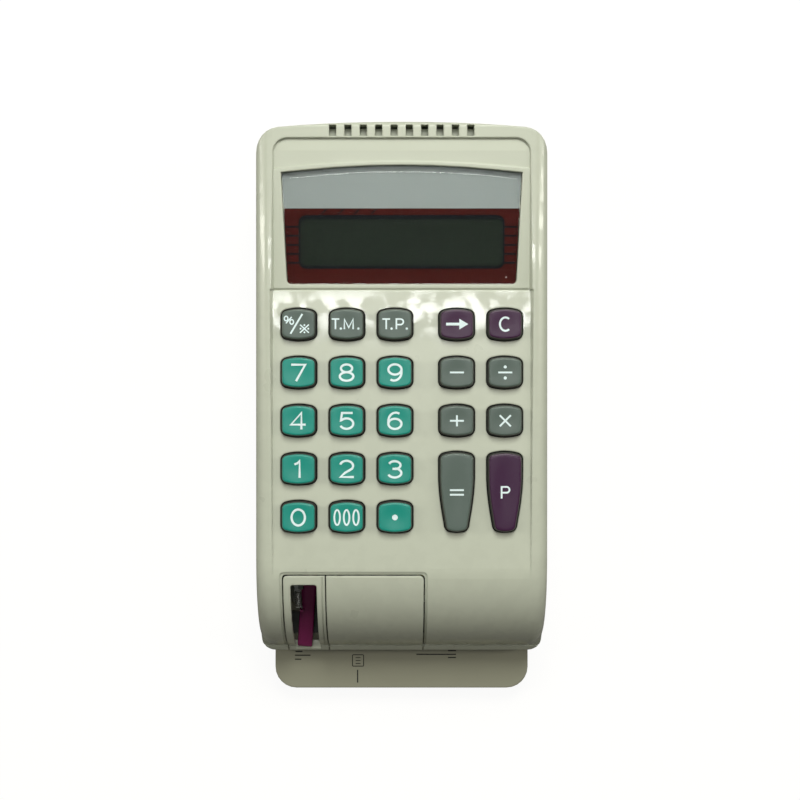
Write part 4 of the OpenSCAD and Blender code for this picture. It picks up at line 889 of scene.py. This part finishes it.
def lamp(name, place, target, size, size_y, power, tint):
    """A soft area lamp that looks from place to target, sizes and places in metres, power in watts."""
    data = bpy.data.lights.new(name, "AREA")
    data.shape = "RECTANGLE"
    data.size, data.size_y = size, size_y
    data.energy = power
    data.color = linear(tint)[:3]
    obj = bpy.data.objects.new(name, data)
    obj.location = place
    obj.rotation_euler = (Vector(target) - Vector(place)).to_track_quat("-Z", "Y").to_euler()
    bpy.context.scene.collection.objects.link(obj)


def floor_finish():
    """Matt white paper: keeps the object's shadow, and is lifted to white for the eye and in gloss."""
    material, tree = blank("paper_white_matt")
    place = add(tree, "ShaderNodeTexCoord").outputs["Object"]
    fibre = add(tree, "ShaderNodeTexNoise", {"Vector": place, "Scale": 1 / (1.5 * MM), "Detail": 2.0})
    bump = add(tree, "ShaderNodeBump", {"Height": fibre.outputs["Fac"], "Distance": 0.01 * MM})
    ray = add(tree, "ShaderNodeLightPath")
    seen = add(tree, "ShaderNodeMath", {0: ray.outputs["Is Camera Ray"], 1: ray.outputs["Is Glossy Ray"]},
               operation="MAXIMUM")
    seen = add(tree, "ShaderNodeMath", {0: seen.outputs[0], 1: ray.outputs["Is Transmission Ray"]},
               operation="MAXIMUM")
    lift = add(tree, "ShaderNodeMapRange", {"Value": ray.outputs["Is Camera Ray"], "To Min": 0.06,
               "To Max": 0.92})
    lift = add(tree, "ShaderNodeMath", {0: seen.outputs[0], 1: lift.outputs[0]}, operation="MULTIPLY")
    bsdf = add(tree, "ShaderNodeBsdfPrincipled", {"Base Color": linear("#585650"), "Roughness": 0.9,
               "Normal": bump.outputs["Normal"], "Emission Color": linear("#ffffff"),
               "Emission Strength": lift.outputs[0]})
    add(tree, "ShaderNodeOutputMaterial", {"Surface": bsdf.outputs[0]})
    return material


class CHECKWRITER_OT_stage(bpy.types.Operator):
    """Floor, lamps, world and camera"""
    bl_idname = "check_writer.stage"
    bl_label = "Stage"

    def execute(self, context):
        scene = context.scene
        a = np.linspace(-FLOOR_HALF, FLOOR_HALF, 21)
        x, y = np.meshgrid(a, a, indexing="ij")
        points, faces = slab(np.stack([x, y, np.zeros_like(x)], -1), 4.0)
        mesh("floor", points, faces, floor_finish(), False)
        for row in LAMPS:
            lamp(*row)
        world = bpy.data.worlds.new("studio")
        scene.world = world
        world.use_nodes = True
        tree = world.node_tree
        tree.nodes.clear()
        ray = add(tree, "ShaderNodeLightPath")
        near = add(tree, "ShaderNodeBackground", {"Color": linear("#f6f3de"), "Strength": 0.08})
        white = add(tree, "ShaderNodeBackground", {"Color": linear("#ffffff"), "Strength": 0.95})
        both = add(tree, "ShaderNodeMixShader", {0: ray.outputs["Is Camera Ray"], 1: near.outputs[0],
                   2: white.outputs[0]})
        add(tree, "ShaderNodeOutputWorld", {"Surface": both.outputs[0]})
        data = bpy.data.cameras.new("camera_above")
        data.sensor_width = 36.0
        data.lens = CAMERA_LENS
        data.clip_end = 20.0
        camera = bpy.data.objects.new("camera_above", data)
        camera.location = CAMERA_PLACE
        scene.collection.objects.link(camera)
        scene.camera = camera
        scene.view_settings.view_transform = "Standard"
        return {"FINISHED"}


class CHECKWRITER_PT_panel(bpy.types.Panel):
    bl_idname = "CHECKWRITER_PT_panel"
    bl_label = "Check writer"
    bl_space_type = "VIEW_3D"
    bl_region_type = "UI"
    bl_category = "Check writer"

    def draw(self, context):
        for group in settings(context):
            for key in group.__annotations__:
                self.layout.prop(group, key)
        for operator in OPERATORS:
            self.layout.operator(operator.bl_idname)


OPERATORS = (CHECKWRITER_OT_finishes, CHECKWRITER_OT_keys, CHECKWRITER_OT_display,
             CHECKWRITER_OT_lever, CHECKWRITER_OT_lever_spring, CHECKWRITER_OT_marks, CHECKWRITER_OT_stage)
CLASSES = (CheckWriterSizes, CheckWriterColours, *OPERATORS, CHECKWRITER_PT_panel)


def register():
    for cls in CLASSES:
        bpy.utils.register_class(cls)
    bpy.types.Scene.check_writer_sizes = bpy.props.PointerProperty(type=CheckWriterSizes)
    bpy.types.Scene.check_writer_colours = bpy.props.PointerProperty(type=CheckWriterColours)


def unregister():
    del bpy.types.Scene.check_writer_colours
    del bpy.types.Scene.check_writer_sizes
    for cls in reversed(CLASSES):
        bpy.utils.unregister_class(cls)


def main():
    register()
    for operator in OPERATORS:
        group, name = operator.bl_idname.split(".")
        getattr(getattr(bpy.ops, group), name)()


if __name__ == "__main__":
    main()
